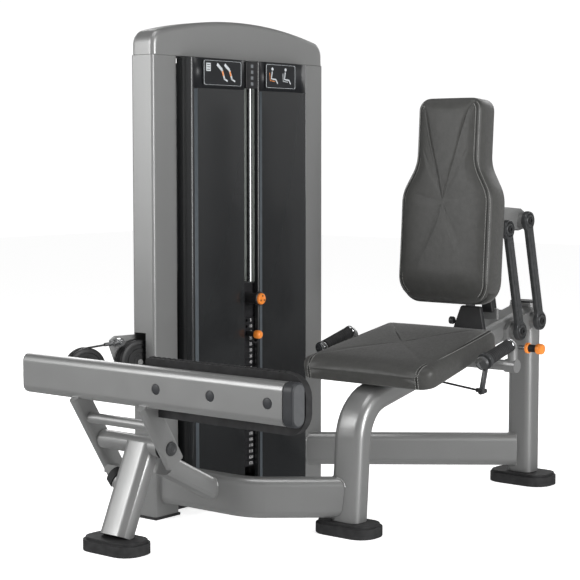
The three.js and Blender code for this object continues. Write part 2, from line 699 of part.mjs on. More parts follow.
// The shaft runs through the housing and both arms; its heads cover the holes.
function pivotShaft() {
  const left = LEFT_ARM.x - ARM.thick / 2 - GAP;
  const right = RIGHT_ARM.x + ARM.thick / 2 + GAP;
  const profile = [
    [0, left - 7], [17, left - 7], [20, left - 4], [20, left], [13, left], [13, right], [20, right],
    [20, right + 5], [16, right + 8], [0, right + 8],
  ];
  return turnedX(profile, PIVOT.y, PIVOT.z, 24);
}

// The tread's outline, as [x, z]: nearly square at its left end, round at its right end.
function treadOutline(inset) {
  const { left, right, bottom, top } = TREAD;
  const points = [];
  const quarter = (x, z, radius, from, steps) => {
    for (let i = 0; i <= steps; i += 1) {
      const angle = (from + (90 * i) / steps) * DEGREE;
      points.push([x + (radius - inset) * Math.cos(angle), z + (radius - inset) * Math.sin(angle)]);
    }
  };
  const { left: small, right: large } = TREAD_CORNER;
  quarter(right - large, top - large, large, 0, 6);
  quarter(left + small, top - small, small, 90, 2);
  quarter(left + small, bottom + small, small, 180, 2);
  quarter(right - large, bottom + large, large, 270, 6);
  return points;
}

function treadSlab(inset, y0, y1) {
  return sweep(treadOutline(inset), [[0, y1, 0], [0, y0, 0]], [1, 0, 0]);
}

function treadPlate() {
  const back = TREAD.front + TREAD.deep;
  const body = treadSlab(0, TREAD.front, back - 5);
  const face = treadSlab(5, back - 6, back);
  return cut(join(body, face), barSolid(GAP));
}

// Moulded sleeve that closes the bar's right end.
function barEndCap() {
  const section = oval(BAR.deep + 2, BAR.high + 2, 24, 5);
  const y = BAR.front + BAR.deep / 2;
  const behind = treadSlab(-GAP, TREAD.front - GAP, TREAD.front + 60);
  return cut(alongX(section, BAR.right + GAP, BAR.end, y, BAR.z), behind);
}

// ---- seat ----
const seatPoint = (along, up) => [
  SEAT.frontY + along * Math.cos(SEAT.tilt) - up * Math.sin(SEAT.tilt),
  SEAT.frontZ + along * Math.sin(SEAT.tilt) + up * Math.cos(SEAT.tilt),
];

function seatPad() {
  const corner = 22;
  const shape = new THREE.Shape();
  const inset = 9;
  const f = SEAT.front / 2 - inset;
  const r = SEAT.rear / 2 - inset;
  const end = SEAT.length - inset;
  shape.moveTo(-f + corner, inset);
  shape.lineTo(f - corner, inset);
  shape.quadraticCurveTo(f, inset, f - 1, inset + corner);
  shape.lineTo(r, end - corner);
  shape.quadraticCurveTo(r, end, r - corner, end);
  shape.lineTo(-r + corner, end);
  shape.quadraticCurveTo(-r, end, -r, end - corner);
  shape.lineTo(-f + 1, inset + corner);
  shape.quadraticCurveTo(-f, inset, -f + corner, inset);
  const geometry = new THREE.ExtrudeGeometry(shape, {
    depth: SEAT.thick - 20,
    bevelThickness: 10,
    bevelSize: 9,
    bevelSegments: 3,
    curveSegments: 5,
  });
  geometry.translate(0, 0, -SEAT.thick + 10);
  geometry.rotateX(SEAT.tilt);
  geometry.translate(0, SEAT.frontY, SEAT.frontZ);
  return solidOf(geometry);
}

function seatPan() {
  const under = -SEAT.thick - GAP;
  const plate = sweep(
    oval(250, 8, 3, 1),
    [seatPoint(50, under - 4), seatPoint(390, under - 4)].map(([y, z]) => [0, y, z]),
    [1, 0, 0],
  );
  const [ribY0, ribZ0] = seatPoint(90, under - 12);
  const [ribY1, ribZ1] = seatPoint(350, under - 12);
  const ribs = [-1, 1].map((s) =>
    sweep(oval(5, 24, 1, 1), [[s * 30, ribY0, ribZ0], [s * 30, ribY1, ribZ1]], [1, 0, 0]),
  );
  return cut(join(plate, ...ribs), beamCutter(), handleCross(GAP));
}

// ---- handles beside the seat ----
function handleCross(extra) {
  return alongX(disc(HANDLE.crossRadius + extra), -HANDLE.x, HANDLE.x, HANDLE.crossY, HANDLE.crossZ);
}

function handlePath(side) {
  const x = side * HANDLE.x;
  const elbow = [x, HANDLE.crossY - 2, HANDLE.rearZ];
  return rounded([[x, HANDLE.crossY, HANDLE.crossZ], elbow, [x, HANDLE_FRONT.y, HANDLE_FRONT.z]], 16, 5);
}

function handleBar() {
  const arms = [-1, 1].map((side) => {
    const tube = sweep(disc(HANDLE.radius), handlePath(side), [1, 0, 0]);
    const [from, to] = alongHandle(side, -3, 9);
    return join(tube, sweep(disc(GRIP.radius), [from, to], [1, 0, 0]));
  });
  const ends = [-1, 1].map((side) =>
    alongX(disc(20), side * (HANDLE.x - 22), side * (HANDLE.x + 15), HANDLE.crossY, HANDLE.crossZ),
  );
  return join(handleCross(0), ...arms, ...ends);
}

// Two points on a handle's straight part, as distances from its front end.
function alongHandle(side, from, to) {
  const dy = HANDLE.crossY - 2 - HANDLE_FRONT.y;
  const dz = HANDLE.rearZ - HANDLE_FRONT.z;
  const length = Math.hypot(dy, dz);
  const x = side * HANDLE.x;
  return [from, to].map((d) => [x, HANDLE_FRONT.y + (dy * d) / length, HANDLE_FRONT.z + (dz * d) / length]);
}

function grip(side, from = GRIP.from, length = GRIP.length) {
  const outer = sweep(disc(GRIP.radius), alongHandle(side, from, from + length), [1, 0, 0]);
  const bore = sweep(disc(HANDLE.radius + GAP), alongHandle(side, from - 5, from + length + 5), [1, 0, 0]);
  return cut(outer, bore);
}

// ---- release crank under the left-hand grip ----
const crankTop = alongHandle(1, 14, 26);
const CRANK_END = { y: CRANK.alongY, z: HANDLE_FRONT.z - CRANK.down };

function crank() {
  const [a, b] = crankTop;
  const collar = sweep(disc(24, 24), [a, b], [1, 0, 0]);
  const bore = sweep(disc(HANDLE.radius + GAP), alongHandle(1, 4, 40), [1, 0, 0]);
  const y = (a[1] + b[1]) / 2;
  const through = (radius, steps, reach) => {
    const ends = [-reach, reach].map((d) => [HANDLE.x, CRANK_END.y + d, CRANK_END.z]);
    return sweep(disc(radius, steps), ends, [1, 0, 0]);
  };
  const arm = sweep(
    oval(16, 10, 4, 2),
    [[HANDLE.x, y, a[2] - 20], [HANDLE.x, CRANK_END.y, CRANK_END.z]],
    [1, 0, 0],
  );
  const end = through(9, 16, 7);
  const eye = through(4.2, 16, 20);
  return cut(join(arm, end, collar), bore, eye);
}

function releaseRod() {
  const z = CRANK_END.z;
  const y = CRANK_END.y + 14.5;
  const pin = sweep(disc(3.2, 12), [[HANDLE.x, CRANK_END.y - 9, z], [HANDLE.x, y + 4, z]], [1, 0, 0]);
  const ball = alongX(disc(6.5, 12), HANDLE.x - 26, HANDLE.x + 6, y, z);
  const rod = sweep(disc(3.2, 10), [[HANDLE.x - 24, y, z], [TUBE.wide / 2 + 6, y, z + 22]], [0, 1, 0]);
  return join(pin, ball, rod);
}

// ---- back pad on its parallel links ----
function backPad() {
  const r = 74;
  const w = BACK.wide / 2 - 10;
  const h = BACK.head / 2 - 10;
  const top = BACK.high - 10;
  const shape = new THREE.Shape();
  shape.moveTo(-w + r, 10);
  shape.lineTo(w - r, 10);
  shape.quadraticCurveTo(w, 10, w, 10 + r);
  shape.lineTo(w, 300);
  shape.bezierCurveTo(w, 380, h, 370, h, 450);
  shape.lineTo(h, top - 34);
  shape.quadraticCurveTo(h, top, h - 34, top);
  shape.lineTo(-h + 34, top);
  shape.quadraticCurveTo(-h, top, -h, top - 34);
  shape.lineTo(-h, 450);
  shape.bezierCurveTo(-h, 370, -w, 380, -w, 300);
  shape.lineTo(-w, 10 + r);
  shape.quadraticCurveTo(-w, 10, -w + r, 10);
  const geometry = new THREE.ExtrudeGeometry(shape, {
    depth: BACK.thick - 24,
    bevelThickness: 12,
    bevelSize: 10,
    bevelSegments: 3,
    curveSegments: 6,
  });
  geometry.translate(0, 0, -BACK.thick + 12);
  geometry.rotateX(Math.PI / 2 - BACK.lean);
  geometry.translate(0, BACK.y, BACK.z);
  return solidOf(geometry);
}

// Points behind the pad: `up` along it and `behind` its front face.
const backPoint = (up, behind) => [
  BACK.y + up * Math.sin(BACK.lean) + behind * Math.cos(BACK.lean),
  BACK.z + up * Math.cos(BACK.lean) - behind * Math.sin(BACK.lean),
];

function backShell() {
  const start = BACK.thick + GAP;
  const path = [backPoint(24, start + 7), backPoint(560, start + 7)].map(([y, z]) => [0, y, z]);
  return sweep(oval(196, 14, 6, 2), path, [1, 0, 0]);
}

const TOP_HEIGHT = LINK.topZ + 58;

function carriageProfile() {
  const y0 = backPoint(215, BACK.thick + 15 + GAP)[0];
  const { topY: y, topZ: z, baseY } = LINK;
  return [
    [y0, z - 42], [y0 + 40, z - 42], [y - 30, z - 32], [y, z - 34], [y + 30, z - 20], [y + 70, z + 6],
    [y + baseY - 14, z - 8], [y + baseY + 22, z - 2], [y + baseY + 34, z + 24], [y + baseY + 24, z + 50],
    [y + baseY, TOP_HEIGHT + 4], [y + 40, TOP_HEIGHT + 10], [y - 60, TOP_HEIGHT], [y0, TOP_HEIGHT - 10],
  ];
}

function carriage() {
  const start = BACK.thick + 14 + 2 * GAP;
  const block = profileYZ(carriageProfile(), -62, 62);
  const flatten = sweep(
    [[-120, -60], [120, -60], [120, 0], [-120, 0]],
    [backPoint(-40, start), backPoint(620, start)].map(([y, z]) => [0, y, z]),
    [1, 0, 0],
  );
  const reach = LINK.inner - 1.5;
  const bosses = [0, 1].map((i) =>
    alongX(disc(24), -reach, reach, LINK.topY + i * LINK.baseY, LINK.topZ + i * LINK.baseZ),
  );
  return join(cut(block, flatten), ...bosses, ...linkStuds(LINK.topY, LINK.topZ, 0));
}

// The two pins through the links on both sides, from their front pin at (y, z).
function linkStuds(y, z, extra) {
  const reach = LINK.inner + LINK.thick - 2;
  return [0, 1].map((i) =>
    alongX(disc(9 + extra, 14), -reach, reach, y + i * LINK.baseY, z + i * LINK.baseZ),
  );
}

// One cast link, pivot to pivot, thick along X from its inner face.
function link(side, which) {
  const y0 = LINK.y + which * LINK.baseY;
  const z0 = LINK.z + which * LINK.baseZ;
  const y1 = LINK.topY + which * LINK.baseY;
  const z1 = LINK.topZ + which * LINK.baseZ;
  const a = side * LINK.inner;
  const b = side * (LINK.inner + LINK.thick);
  const [x0, x1] = [Math.min(a, b), Math.max(a, b)];
  const middle = (x0 + x1) / 2;
  const bar = sweep(oval(LINK.thick - 5, 38, 7, 2), [[middle, y0, z0], [middle, y1, z1]], [1, 0, 0]);
  const heads = [[y0, z0], [y1, z1]].map(([y, z]) => alongX(disc(30, 24), x0, x1, y, z));
  const bores = [[y0, z0], [y1, z1]].map(([y, z]) => alongX(disc(9 + GAP, 16), x0 - 5, x1 + 5, y, z));
  return cut(join(bar, ...heads), ...bores);
}

function linkBase() {
  const cheek = (x0, x1) =>
    profileYZ(
      [
        [PULL.y - 16, onBeam(PULL.y - 16) - 26], [PULL.y - 13, PULL.z - 13], [PULL.y + 13, PULL.z - 13],
        [PULL.y + 20, onBeam(PULL.y + 20) - 24], [LINK.y + 165, onBeam(LINK.y + 140) - 24],
        [LINK.y + 165, onBeam(LINK.y + 140) + 14], [LINK.y + 110, LINK.z + 52], [LINK.y - 10, LINK.z + 30],
        [LINK.y - 40, LINK.z + 6],
      ],
      x0,
      x1,
    );
  const bosses = [0, 1].flatMap((i) => [
    alongX(disc(24), -LINK.inner + 1.5, -52, LINK.y + i * LINK.baseY, LINK.z + i * LINK.baseZ),
    alongX(disc(24), 52, LINK.inner - 1.5, LINK.y + i * LINK.baseY, LINK.z + i * LINK.baseZ),
  ]);
  const cheeks = [cheek(-62, -TUBE.wide / 2 - GAP), cheek(TUBE.wide / 2 + GAP, 62)];
  const bore = alongX(disc(PULL_RADIUS + GAP, 16), 0, 100, PULL.y, PULL.z);
  return cut(join(...cheeks, ...linkStuds(LINK.y, LINK.z, 0), ...bosses), rearPostSolid(GAP), bore);
}

function beamCover() {
  const y0 = 590;
  const y1 = 690;
  const outline = [
    [y0, onBeam(y0) + 20], [y1, onBeam(y1) + 20], [y1, 606], [y0 + 26, 606], [y0, 590],
  ];
  const block = profileYZ(outline, -46, 46);
  return cut(block, beamCutter());
}

// ---- pull knob behind the seat ----
function releasePull() {
  return turnedX(
    [
      [0, PULL.from], [PULL_RADIUS, PULL.from], [PULL_RADIUS, PULL.tip - 60], [17, PULL.tip - 60],
      [17, PULL.tip - 50], [12, PULL.tip - 48], [12, PULL.tip - 20], [17, PULL.tip - 18],
      [17, PULL.tip - 4], [13, PULL.tip], [0, PULL.tip],
    ],
    PULL.y,
    PULL.z,
    22,
  );
}

// ---- assembly ----
const machine = new THREE.Group();
machine.name = 'calf_extension_machine';

function place(name, solid, material) {
  const mesh = new THREE.Mesh(geometryOf(solid), material());
  mesh.name = name;
  machine.add(mesh);
}

place('front_post', frontPost(), silver);
place('rear_post', rearPostSolid(0), silver);
place('rear_rail', rearRail(), silver);
place('base_tube', baseTube(), silver);
place('front_foot', foot(0, FRONT_POST.y), rubber);
place('rear_foot', foot(0, REAR_POST.y, 1.1), rubber);
place('leg_foot', foot(LEG_FOOT.x, LEG_FOOT.y), rubber);
place('footplate_leg', footplateLeg(), silver);
place('stop_bumper', stopBumper(), rubber);
place('leg_brace', brace(), silver);
place('left_column', leftColumn(), silver);
place('right_column', column(TOWER.right - COLUMN.wide), silver);
place('left_sole', sole(TOWER.left), rubber);
place('right_sole', sole(TOWER.right - COLUMN.wide), rubber);
place('top_cap', topCap(), silver);
place('tower_base', towerBase(), black);
place('left_front_shroud', frontShroud(-1), gloss);
place('right_front_shroud', frontShroud(1), gloss);
place('rear_shroud', rearShroud(), gloss);
place('left_placard', placard(-1, 176, 80, 1325), print);
place('right_placard', placard(1, 150, 80, 1325), print);
place('left_guide_rod', guideRod(-1), chrome);
place('right_guide_rod', guideRod(1), chrome);
place('side_top_pulley', topPulley(SIDE_PULLEY_Y), black);
place('stack_top_pulley', topPulley(STACK_PULLEY_Y), black);
place('column_pulley', lowerPulley(COLUMN_PULLEY), black);
place('cable_anchor', cableAnchor(), chrome);
place('drive_cable', driveCable(), cableCoat);

place('head_plate', headPlate(), steelDark);
place('increment_dial', incrementDial(), orange);
place('selector_pin', selectorPin(), orange);
for (let i = 0; i < LIFTED; i += 1) {
  place(`weight_plate_${i + 1}`, weightPlate(STACK.count - 1 - i), ironPlate);
}
place('resting_plates', restingPlates(), ironPlate);

place('footplate_bar', footplateBar(), silver);
place('left_arm', leftArm(), silver);
place('right_arm', rightArm(), silver);
place('pivot_shaft', pivotShaft(), gunmetal);
place('tread_plate', treadPlate(), rubber);
place('bar_end_cap', barEndCap(), rubber);
place('moving_pulley', lowerPulley(MOVING_PULLEY), black);
place('moving_pulley_bracket', pulleyBracket(), black);

place('seat_pad', seatPad(), leather);
place('seat_pan', seatPan(), black);
place('handle_bar', handleBar(), silver);
place('right_grip', grip(-1), rubber);
place('left_grip', grip(1, 30, GRIP.length - 14), rubber);
place('release_crank', crank(), gunmetal);
place('release_rod', releaseRod(), black);

place('back_pad', backPad(), leather);
place('back_shell', backShell(), black);
place('carriage', carriage(), silver);
for (const [name, which] of [['front', 0], ['rear', 1]]) {
  place(`${name}_link_left`, link(1, which), gunmetal);
  place(`${name}_link_right`, link(-1, which), gunmetal);
}
place('link_base', linkBase(), silver);
place('beam_cover', beamCover(), black);
place('release_pull', releasePull(), orange);

export default machine;
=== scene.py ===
"""Looks for the seated calf extension machine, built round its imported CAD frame."""

import json
import math

import bmesh
import bpy
from mathutils import Matrix, Vector
from mathutils.bvhtree import BVHTree

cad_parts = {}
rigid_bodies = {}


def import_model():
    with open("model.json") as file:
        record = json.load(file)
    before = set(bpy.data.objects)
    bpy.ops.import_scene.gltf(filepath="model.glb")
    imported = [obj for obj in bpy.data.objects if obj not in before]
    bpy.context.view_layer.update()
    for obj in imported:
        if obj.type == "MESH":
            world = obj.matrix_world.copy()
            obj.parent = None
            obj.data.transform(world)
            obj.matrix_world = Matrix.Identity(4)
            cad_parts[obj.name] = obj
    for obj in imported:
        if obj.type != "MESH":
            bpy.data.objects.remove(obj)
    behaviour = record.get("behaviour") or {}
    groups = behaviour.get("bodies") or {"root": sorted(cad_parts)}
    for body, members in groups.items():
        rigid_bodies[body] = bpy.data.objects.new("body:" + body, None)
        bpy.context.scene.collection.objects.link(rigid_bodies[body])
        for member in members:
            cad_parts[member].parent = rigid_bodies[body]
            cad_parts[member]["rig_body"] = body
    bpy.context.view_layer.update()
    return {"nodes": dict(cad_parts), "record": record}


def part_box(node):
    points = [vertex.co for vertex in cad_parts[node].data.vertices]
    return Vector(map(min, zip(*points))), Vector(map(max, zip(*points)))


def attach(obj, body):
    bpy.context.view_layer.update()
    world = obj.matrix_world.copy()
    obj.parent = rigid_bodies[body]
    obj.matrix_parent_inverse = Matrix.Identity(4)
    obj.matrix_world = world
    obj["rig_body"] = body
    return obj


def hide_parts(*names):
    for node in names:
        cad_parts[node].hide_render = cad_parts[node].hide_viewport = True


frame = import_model()
NODES = frame["nodes"]
MM = 0.001

# ---- driving dimensions, in millimetres unless the name says otherwise ----
CAMERA = {"place_m": (2.722, -3.600, 1.072), "azimuth": 39.235, "down": 4.722, "lens": 99.31}
SEAT = {"y": 50, "z": 482, "front": 468, "rear": 390, "length": 428, "thick": 61, "tilt": 11}
BACK = {"y": 452, "z": 630, "lean": 3.6, "wide": 330, "head": 228, "high": 626, "thick": 92}
SLOT_Y = 160
STACK = {"bottom": 105, "pitch": 18.85, "count": 25, "front_x": -523}
YAW = 12
AXLES = {"moving": (-646.9, -414.7, 459), "column": (-609.3, -237.6, 470)}
TOP_AXLES = {"side": (-596, -134.4, 1394), "stack": (-596, 119.2, 1394)}
LINKS = {"y": 782, "z": 523, "top_y": 701, "top_z": 849, "base_y": 121, "base_z": 24, "inner": 78}
BAR = {"front": -558, "z": 458, "bolts": (-224, -30, 164)}
TREAD = {"left": -314, "right": 246, "front": -504, "deep": 30, "bottom": 372, "top": 531}
PIVOT = {"y": -457, "z": 279}
SHROUD_FACE_X = -500


# ---- materials ----
class Paint:
    """A Principled material with noise in its colour, roughness and bump."""

    def __init__(self, name, color, roughness, metallic=0.0):
        self.material = bpy.data.materials.new(name)
        self.material.use_nodes = True
        self.tree = self.material.node_tree
        self.shader = self.tree.nodes["Principled BSDF"]
        self.shader.inputs["Metallic"].default_value = metallic
        self.shader.inputs["Roughness"].default_value = roughness
        self.shader.inputs["Base Color"].default_value = (*color, 1)
        self.color = color
        self.roughness = roughness
        self.place = self.add("ShaderNodeTexCoord").outputs["Object"]

    def add(self, kind):
        return self.tree.nodes.new(kind)

    def link(self, a, b):
        self.tree.links.new(a, b)

    def noise(self, scale, detail=3.0, stretch=(1, 1, 1)):
        mapping = self.add("ShaderNodeMapping")
        mapping.inputs["Scale"].default_value = stretch
        self.link(self.place, mapping.inputs["Vector"])
        node = self.add("ShaderNodeTexNoise")
        node.inputs["Scale"].default_value = scale
        node.inputs["Detail"].default_value = detail
        self.link(mapping.outputs["Vector"], node.inputs["Vector"])
        return node.outputs["Fac"]

    def cells(self, scale):
        node = self.add("ShaderNodeTexVoronoi")
        node.inputs["Scale"].default_value = scale
        self.link(self.place, node.inputs["Vector"])
        return node.outputs["Distance"]

    def spread(self, source, low, high, span=(0.3, 0.7)):
        node = self.add("ShaderNodeMapRange")
        node.inputs["From Min"].default_value = span[0]
        node.inputs["From Max"].default_value = span[1]
        node.inputs["To Min"].default_value = low
        node.inputs["To Max"].default_value = high
        self.link(source, node.inputs["Value"])
        return node.outputs["Result"]

    def mottle(self, source, amount):
        """Colour a little darker and lighter than its base, by the noise."""
        mix = self.add("ShaderNodeMix")
        mix.data_type = "RGBA"
        mix.inputs["A"].default_value = (*[c * (1 - amount) for c in self.color], 1)
        mix.inputs["B"].default_value = (*[min(1, c * (1 + amount)) for c in self.color], 1)
        self.link(self.spread(source, 0, 1), mix.inputs["Factor"])
        self.link(mix.outputs["Result"], self.shader.inputs["Base Color"])
        return self

    def polish(self, source, amount):
        """Roughness that varies with the noise."""
        value = self.spread(source, self.roughness - amount, self.roughness + amount)
        self.link(value, self.shader.inputs["Roughness"])
        return self

    def bump(self, source, depth, strength=0.5):
        node = self.add("ShaderNodeBump")
        node.inputs["Strength"].default_value = strength
        node.inputs["Distance"].default_value = depth
        self.link(source, node.inputs["Height"])
        self.link(node.outputs["Normal"], self.shader.inputs["Normal"])
        return self

    def coat(self, weight, roughness=0.1):
        self.shader.inputs["Coat Weight"].default_value = weight
        self.shader.inputs["Coat Roughness"].default_value = roughness
        return self


def silver_paint():
    paint = Paint("silver_paint", (0.335, 0.337, 0.335), 0.36, 0.6)
    flake = paint.noise(1900, 1.0)
    paint.mottle(flake, 0.10)
    paint.polish(paint.noise(14, 3.0), 0.03)
    paint.bump(flake, 0.00005, 0.25)
    return paint.coat(0.2, 0.15).material


def black_paint():
    paint = Paint("black_paint", (0.020, 0.020, 0.021), 0.42)
    return paint.mottle(paint.noise(40), 0.25).bump(paint.noise(900, 2.0), 0.0001, 0.3).material


def cast_grey():
    paint = Paint("cast_grey", (0.070, 0.072, 0.074), 0.33, 0.4)
    paint.mottle(paint.noise(60), 0.18)
    return paint.polish(paint.noise(90), 0.06).bump(paint.noise(650, 3.0), 0.00018, 0.35).material


def chrome():
    paint = Paint("chrome", (0.72, 0.73, 0.74), 0.10, 1.0)
    return paint.polish(paint.noise(30, 4.0), 0.04).material


def plate_iron():
    paint = Paint("plate_iron", (0.022, 0.022, 0.024), 0.48, 0.2)
    return paint.mottle(paint.noise(50), 0.3).bump(paint.noise(500, 3.0), 0.0002, 0.35).material


def gloss_shroud():
    paint = Paint("gloss_shroud", (0.026, 0.028, 0.030), 0.24)
    # Base colour darker towards the bottom and lighter towards the top: painted shade low down and painted
    # reflection of the studio higher up.
    split = paint.add("ShaderNodeSeparateXYZ")
    paint.link(paint.place, split.inputs["Vector"])
    height = paint.spread(split.outputs["Z"], 0, 1, (0.1, 1.35))
    mix = paint.add("ShaderNodeMix")
    mix.data_type = "RGBA"
    mix.inputs["A"].default_value = (0.012, 0.013, 0.014, 1)
    mix.inputs["B"].default_value = (0.030, 0.031, 0.032, 1)
    paint.link(height, mix.inputs["Factor"])
    paint.link(mix.outputs["Result"], paint.shader.inputs["Base Color"])
    paint.polish(paint.noise(7, 2.0), 0.03)
    return paint.bump(paint.noise(700, 2.0), 0.00004, 0.2).coat(0.15, 0.12).material


def black_plastic():
    paint = Paint("black_plastic", (0.017, 0.017, 0.018), 0.45)
    return paint.mottle(paint.noise(30), 0.25).bump(paint.noise(1200, 2.0), 0.0001, 0.3).material


def grey_moulding():
    paint = Paint("grey_moulding", (0.034, 0.036, 0.040), 0.45)
    return paint.mottle(paint.noise(30), 0.15).bump(paint.noise(1000, 2.0), 0.0001, 0.3).material


def black_rubber():
    paint = Paint("black_rubber", (0.022, 0.022, 0.023), 0.72)
    return paint.mottle(paint.noise(45), 0.3).bump(paint.noise(800, 3.0), 0.0002, 0.45).material


def placard_print():
    paint = Paint("placard_print", (0.012, 0.013, 0.015), 0.4)
    return paint.mottle(paint.noise(25), 0.12).material


# Flat mottled colour: real print on placards, plates and signs, and also the painted light, painted shade
# and painted highlight on the stack wall, the seams and the shroud folds.
def print_and_painted_light(name="print_and_painted_light", color=(0.55, 0.58, 0.60)):
    paint = Paint(name, color, 0.5)
    return paint.mottle(paint.noise(60), 0.08).material


def orange_plastic():
    paint = Paint("orange_plastic", (0.92, 0.27, 0.035), 0.35)
    return paint.mottle(paint.noise(40), 0.06).bump(paint.noise(600), 0.00008, 0.2).coat(0.3, 0.15).material


def upholstery():
    paint = Paint("upholstery", (0.050, 0.050, 0.047), 0.46)
    grain = paint.cells(420)
    paint.mottle(paint.noise(55, 5.0), 0.10)
    paint.polish(paint.noise(120), 0.06)
    paint.bump(grain, 0.00035, 0.45)
    paint.shader.inputs["Sheen Weight"].default_value = 0.12
    paint.shader.inputs["Sheen Roughness"].default_value = 0.5
    return paint.material


def thread():
    paint = Paint("thread", (0.30, 0.30, 0.29), 0.8)
    return paint.mottle(paint.noise(900), 0.2).material


def cable_coat():
    paint = Paint("cable_coat", (0.02, 0.02, 0.02), 0.35)
    return paint.bump(paint.noise(500), 0.0001, 0.2).material


SILVER = silver_paint()
BLACK_PAINT = black_paint()
CAST = cast_grey()
CHROME = chrome()
IRON = plate_iron()
SHROUD = gloss_shroud()
PLASTIC = black_plastic()
MOULDING = grey_moulding()
RUBBER = black_rubber()
PLACARD = placard_print()
PRINT = print_and_painted_light()
SKIN_PRINT = print_and_painted_light("orange_print", (0.75, 0.25, 0.06))
ORANGE = orange_plastic()
LEATHER = upholstery()
THREAD = thread()
CABLE = cable_coat()
SLOT_MATERIAL = {
    "silver_paint": SILVER,
    "black_paint": BLACK_PAINT,
    "dark_cast": CAST,
    "chrome_steel": CHROME,
    "plate_iron": IRON,
    "gloss_shroud": SHROUD,
    "black_plastic": PLASTIC,
    "placard": PLACARD,
    "black_rubber": RUBBER,
    "orange_plastic": ORANGE,
    "upholstery": LEATHER,
    "cable_coat": CABLE,
}


# ---- making pieces ----
def settle(obj, body, slot, material=None, replaces=()):
    """Gives a finished piece its material, the slot's own unless one is given, and its body."""
    obj.data.materials.clear()
    obj.data.materials.append(material or SLOT_MATERIAL[slot])
    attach(obj, body)
    if replaces:
        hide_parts(*replaces)
    return obj


def from_bmesh(name, mesh, smooth=True):
    data = bpy.data.meshes.new(name)
    mesh.to_mesh(data)
    mesh.free()
    for face in data.polygons:
        face.use_smooth = smooth
    obj = bpy.data.objects.new(name, data)
    bpy.context.scene.collection.objects.link(obj)
    return obj


def from_points(name, points, faces, smooth=True):
    """A mesh from points in millimetres."""
    data = bpy.data.meshes.new(name)
    data.from_pydata([Vector(p) * MM for p in points], [], faces)
    mesh = bmesh.new()
    mesh.from_mesh(data)
    bmesh.ops.recalc_face_normals(mesh, faces=mesh.faces)
    return from_bmesh(name, mesh, smooth)


def round_edges(obj, width=1.2, segments=3, angle=32):
    """Small round edges with even shading on the flats."""
    obj.data.set_sharp_from_angle(angle=math.radians(angle))
    bevel = obj.modifiers.new("edges", "BEVEL")
    bevel.limit_method = "ANGLE"
    bevel.angle_limit = math.radians(angle)
    bevel.width = width * MM
    bevel.segments = segments
    bevel.use_clamp_overlap = True
    bevel.harden_normals = False
    normals = obj.modifiers.new("flats", "WEIGHTED_NORMAL")
    normals.keep_sharp = True
    normals.weight = 80
    return obj


def refined(node, width=1.2, material=None, angle=32):
    """A welded copy of a CAD node with round edges, shown in its place."""
    source = NODES[node]
    mesh = bmesh.new()
    mesh.from_mesh(source.data)
    bmesh.ops.remove_doubles(mesh, verts=mesh.verts, dist=2e-5)
    bmesh.ops.dissolve_limit(
        mesh, angle_limit=math.radians(0.6), verts=mesh.verts, edges=mesh.edges,
    )
    obj = from_bmesh("shown_" + node, mesh)
    slots = {s["node"]: s["material_slot"] for s in frame["record"]["subparts"]}
    settle(obj, source["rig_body"], slots[node], material, [node])
    return round_edges(obj, width, angle=angle)


def axis_matrix(place, direction):
    """Takes +Z to direction and the origin to place (millimetres)."""
    turn = Vector((0, 0, 1)).rotation_difference(Vector(direction)).to_matrix().to_4x4()
    return Matrix.Translation(Vector(place) * MM) @ turn


def lathe(name, profile, place, direction, steps=64, ends=True):
    """Turns [(radius, along), ...] about the line through place, in millimetres."""
    mesh = bmesh.new()
    rings = []
    for radius, along in profile:
        if radius < 1e-6:
            rings.append([mesh.verts.new((0, 0, along * MM))])
            continue
        ring = []
        for i in range(steps):
            angle = 2 * math.pi * i / steps
            ring.append(mesh.verts.new(
                (radius * MM * math.cos(angle), radius * MM * math.sin(angle), along * MM)
            ))
        rings.append(ring)
    for a, b in zip(rings, rings[1:]):
        for i in range(steps):
            j = (i + 1) % steps
            corners = [a[i % len(a)], a[j % len(a)], b[j % len(b)], b[i % len(b)]]
            unique = list(dict.fromkeys(corners))
            if len(unique) > 2:
                mesh.faces.new(unique)
    if ends:
        for ring in (rings[0], rings[-1]):
            if len(ring) > 2:
                mesh.faces.new(ring)
    bmesh.ops.recalc_face_normals(mesh, faces=mesh.faces)
    mesh.transform(axis_matrix(place, direction))
    obj = from_bmesh(name, mesh)
    obj.data.set_sharp_from_angle(angle=math.radians(40))
    return obj


def curve(name, points, radius, cyclic=False, resolution=6, kind="POLY"):
    """A round bar or thread along points, in millimetres."""
    data = bpy.data.curves.new(name, "CURVE")
    data.dimensions = "3D"
    data.bevel_depth = radius * MM
    data.bevel_resolution = resolution
    data.use_fill_caps = True
    spline = data.splines.new(kind)
    spline.points.add(len(points) - 1)
    for point, place in zip(spline.points, points):
        point.co = (*[c * MM for c in place], 1)
    spline.use_cyclic_u = cyclic
    spline.use_smooth = True
    obj = bpy.data.objects.new(name, data)
    bpy.context.scene.collection.objects.link(obj)
    return obj


# ---- camera, light and floor ----
def make_camera():
    data = bpy.data.cameras.new("camera")
    data.lens = CAMERA["lens"]
    data.sensor_width = 36
    camera = bpy.data.objects.new("camera", data)
    camera.location = CAMERA["place_m"]
    camera.rotation_euler = (
        math.radians(90 - CAMERA["down"]), 0, math.radians(CAMERA["azimuth"]),
    )
    bpy.context.scene.collection.objects.link(camera)
    bpy.context.scene.camera = camera


def area_light(name, place, target, size, power, color=(1, 1, 1)):
    data = bpy.data.lights.new(name, "AREA")
    data.shape = "RECTANGLE"
    data.size, data.size_y = size
    data.energy = power
    data.color = color
    light = bpy.data.objects.new(name, data)
    light.location = place
    aim = Vector(target) - Vector(place)
    light.rotation_euler = aim.to_track_quat("-Z", "Y").to_euler()
    bpy.context.scene.collection.objects.link(light)


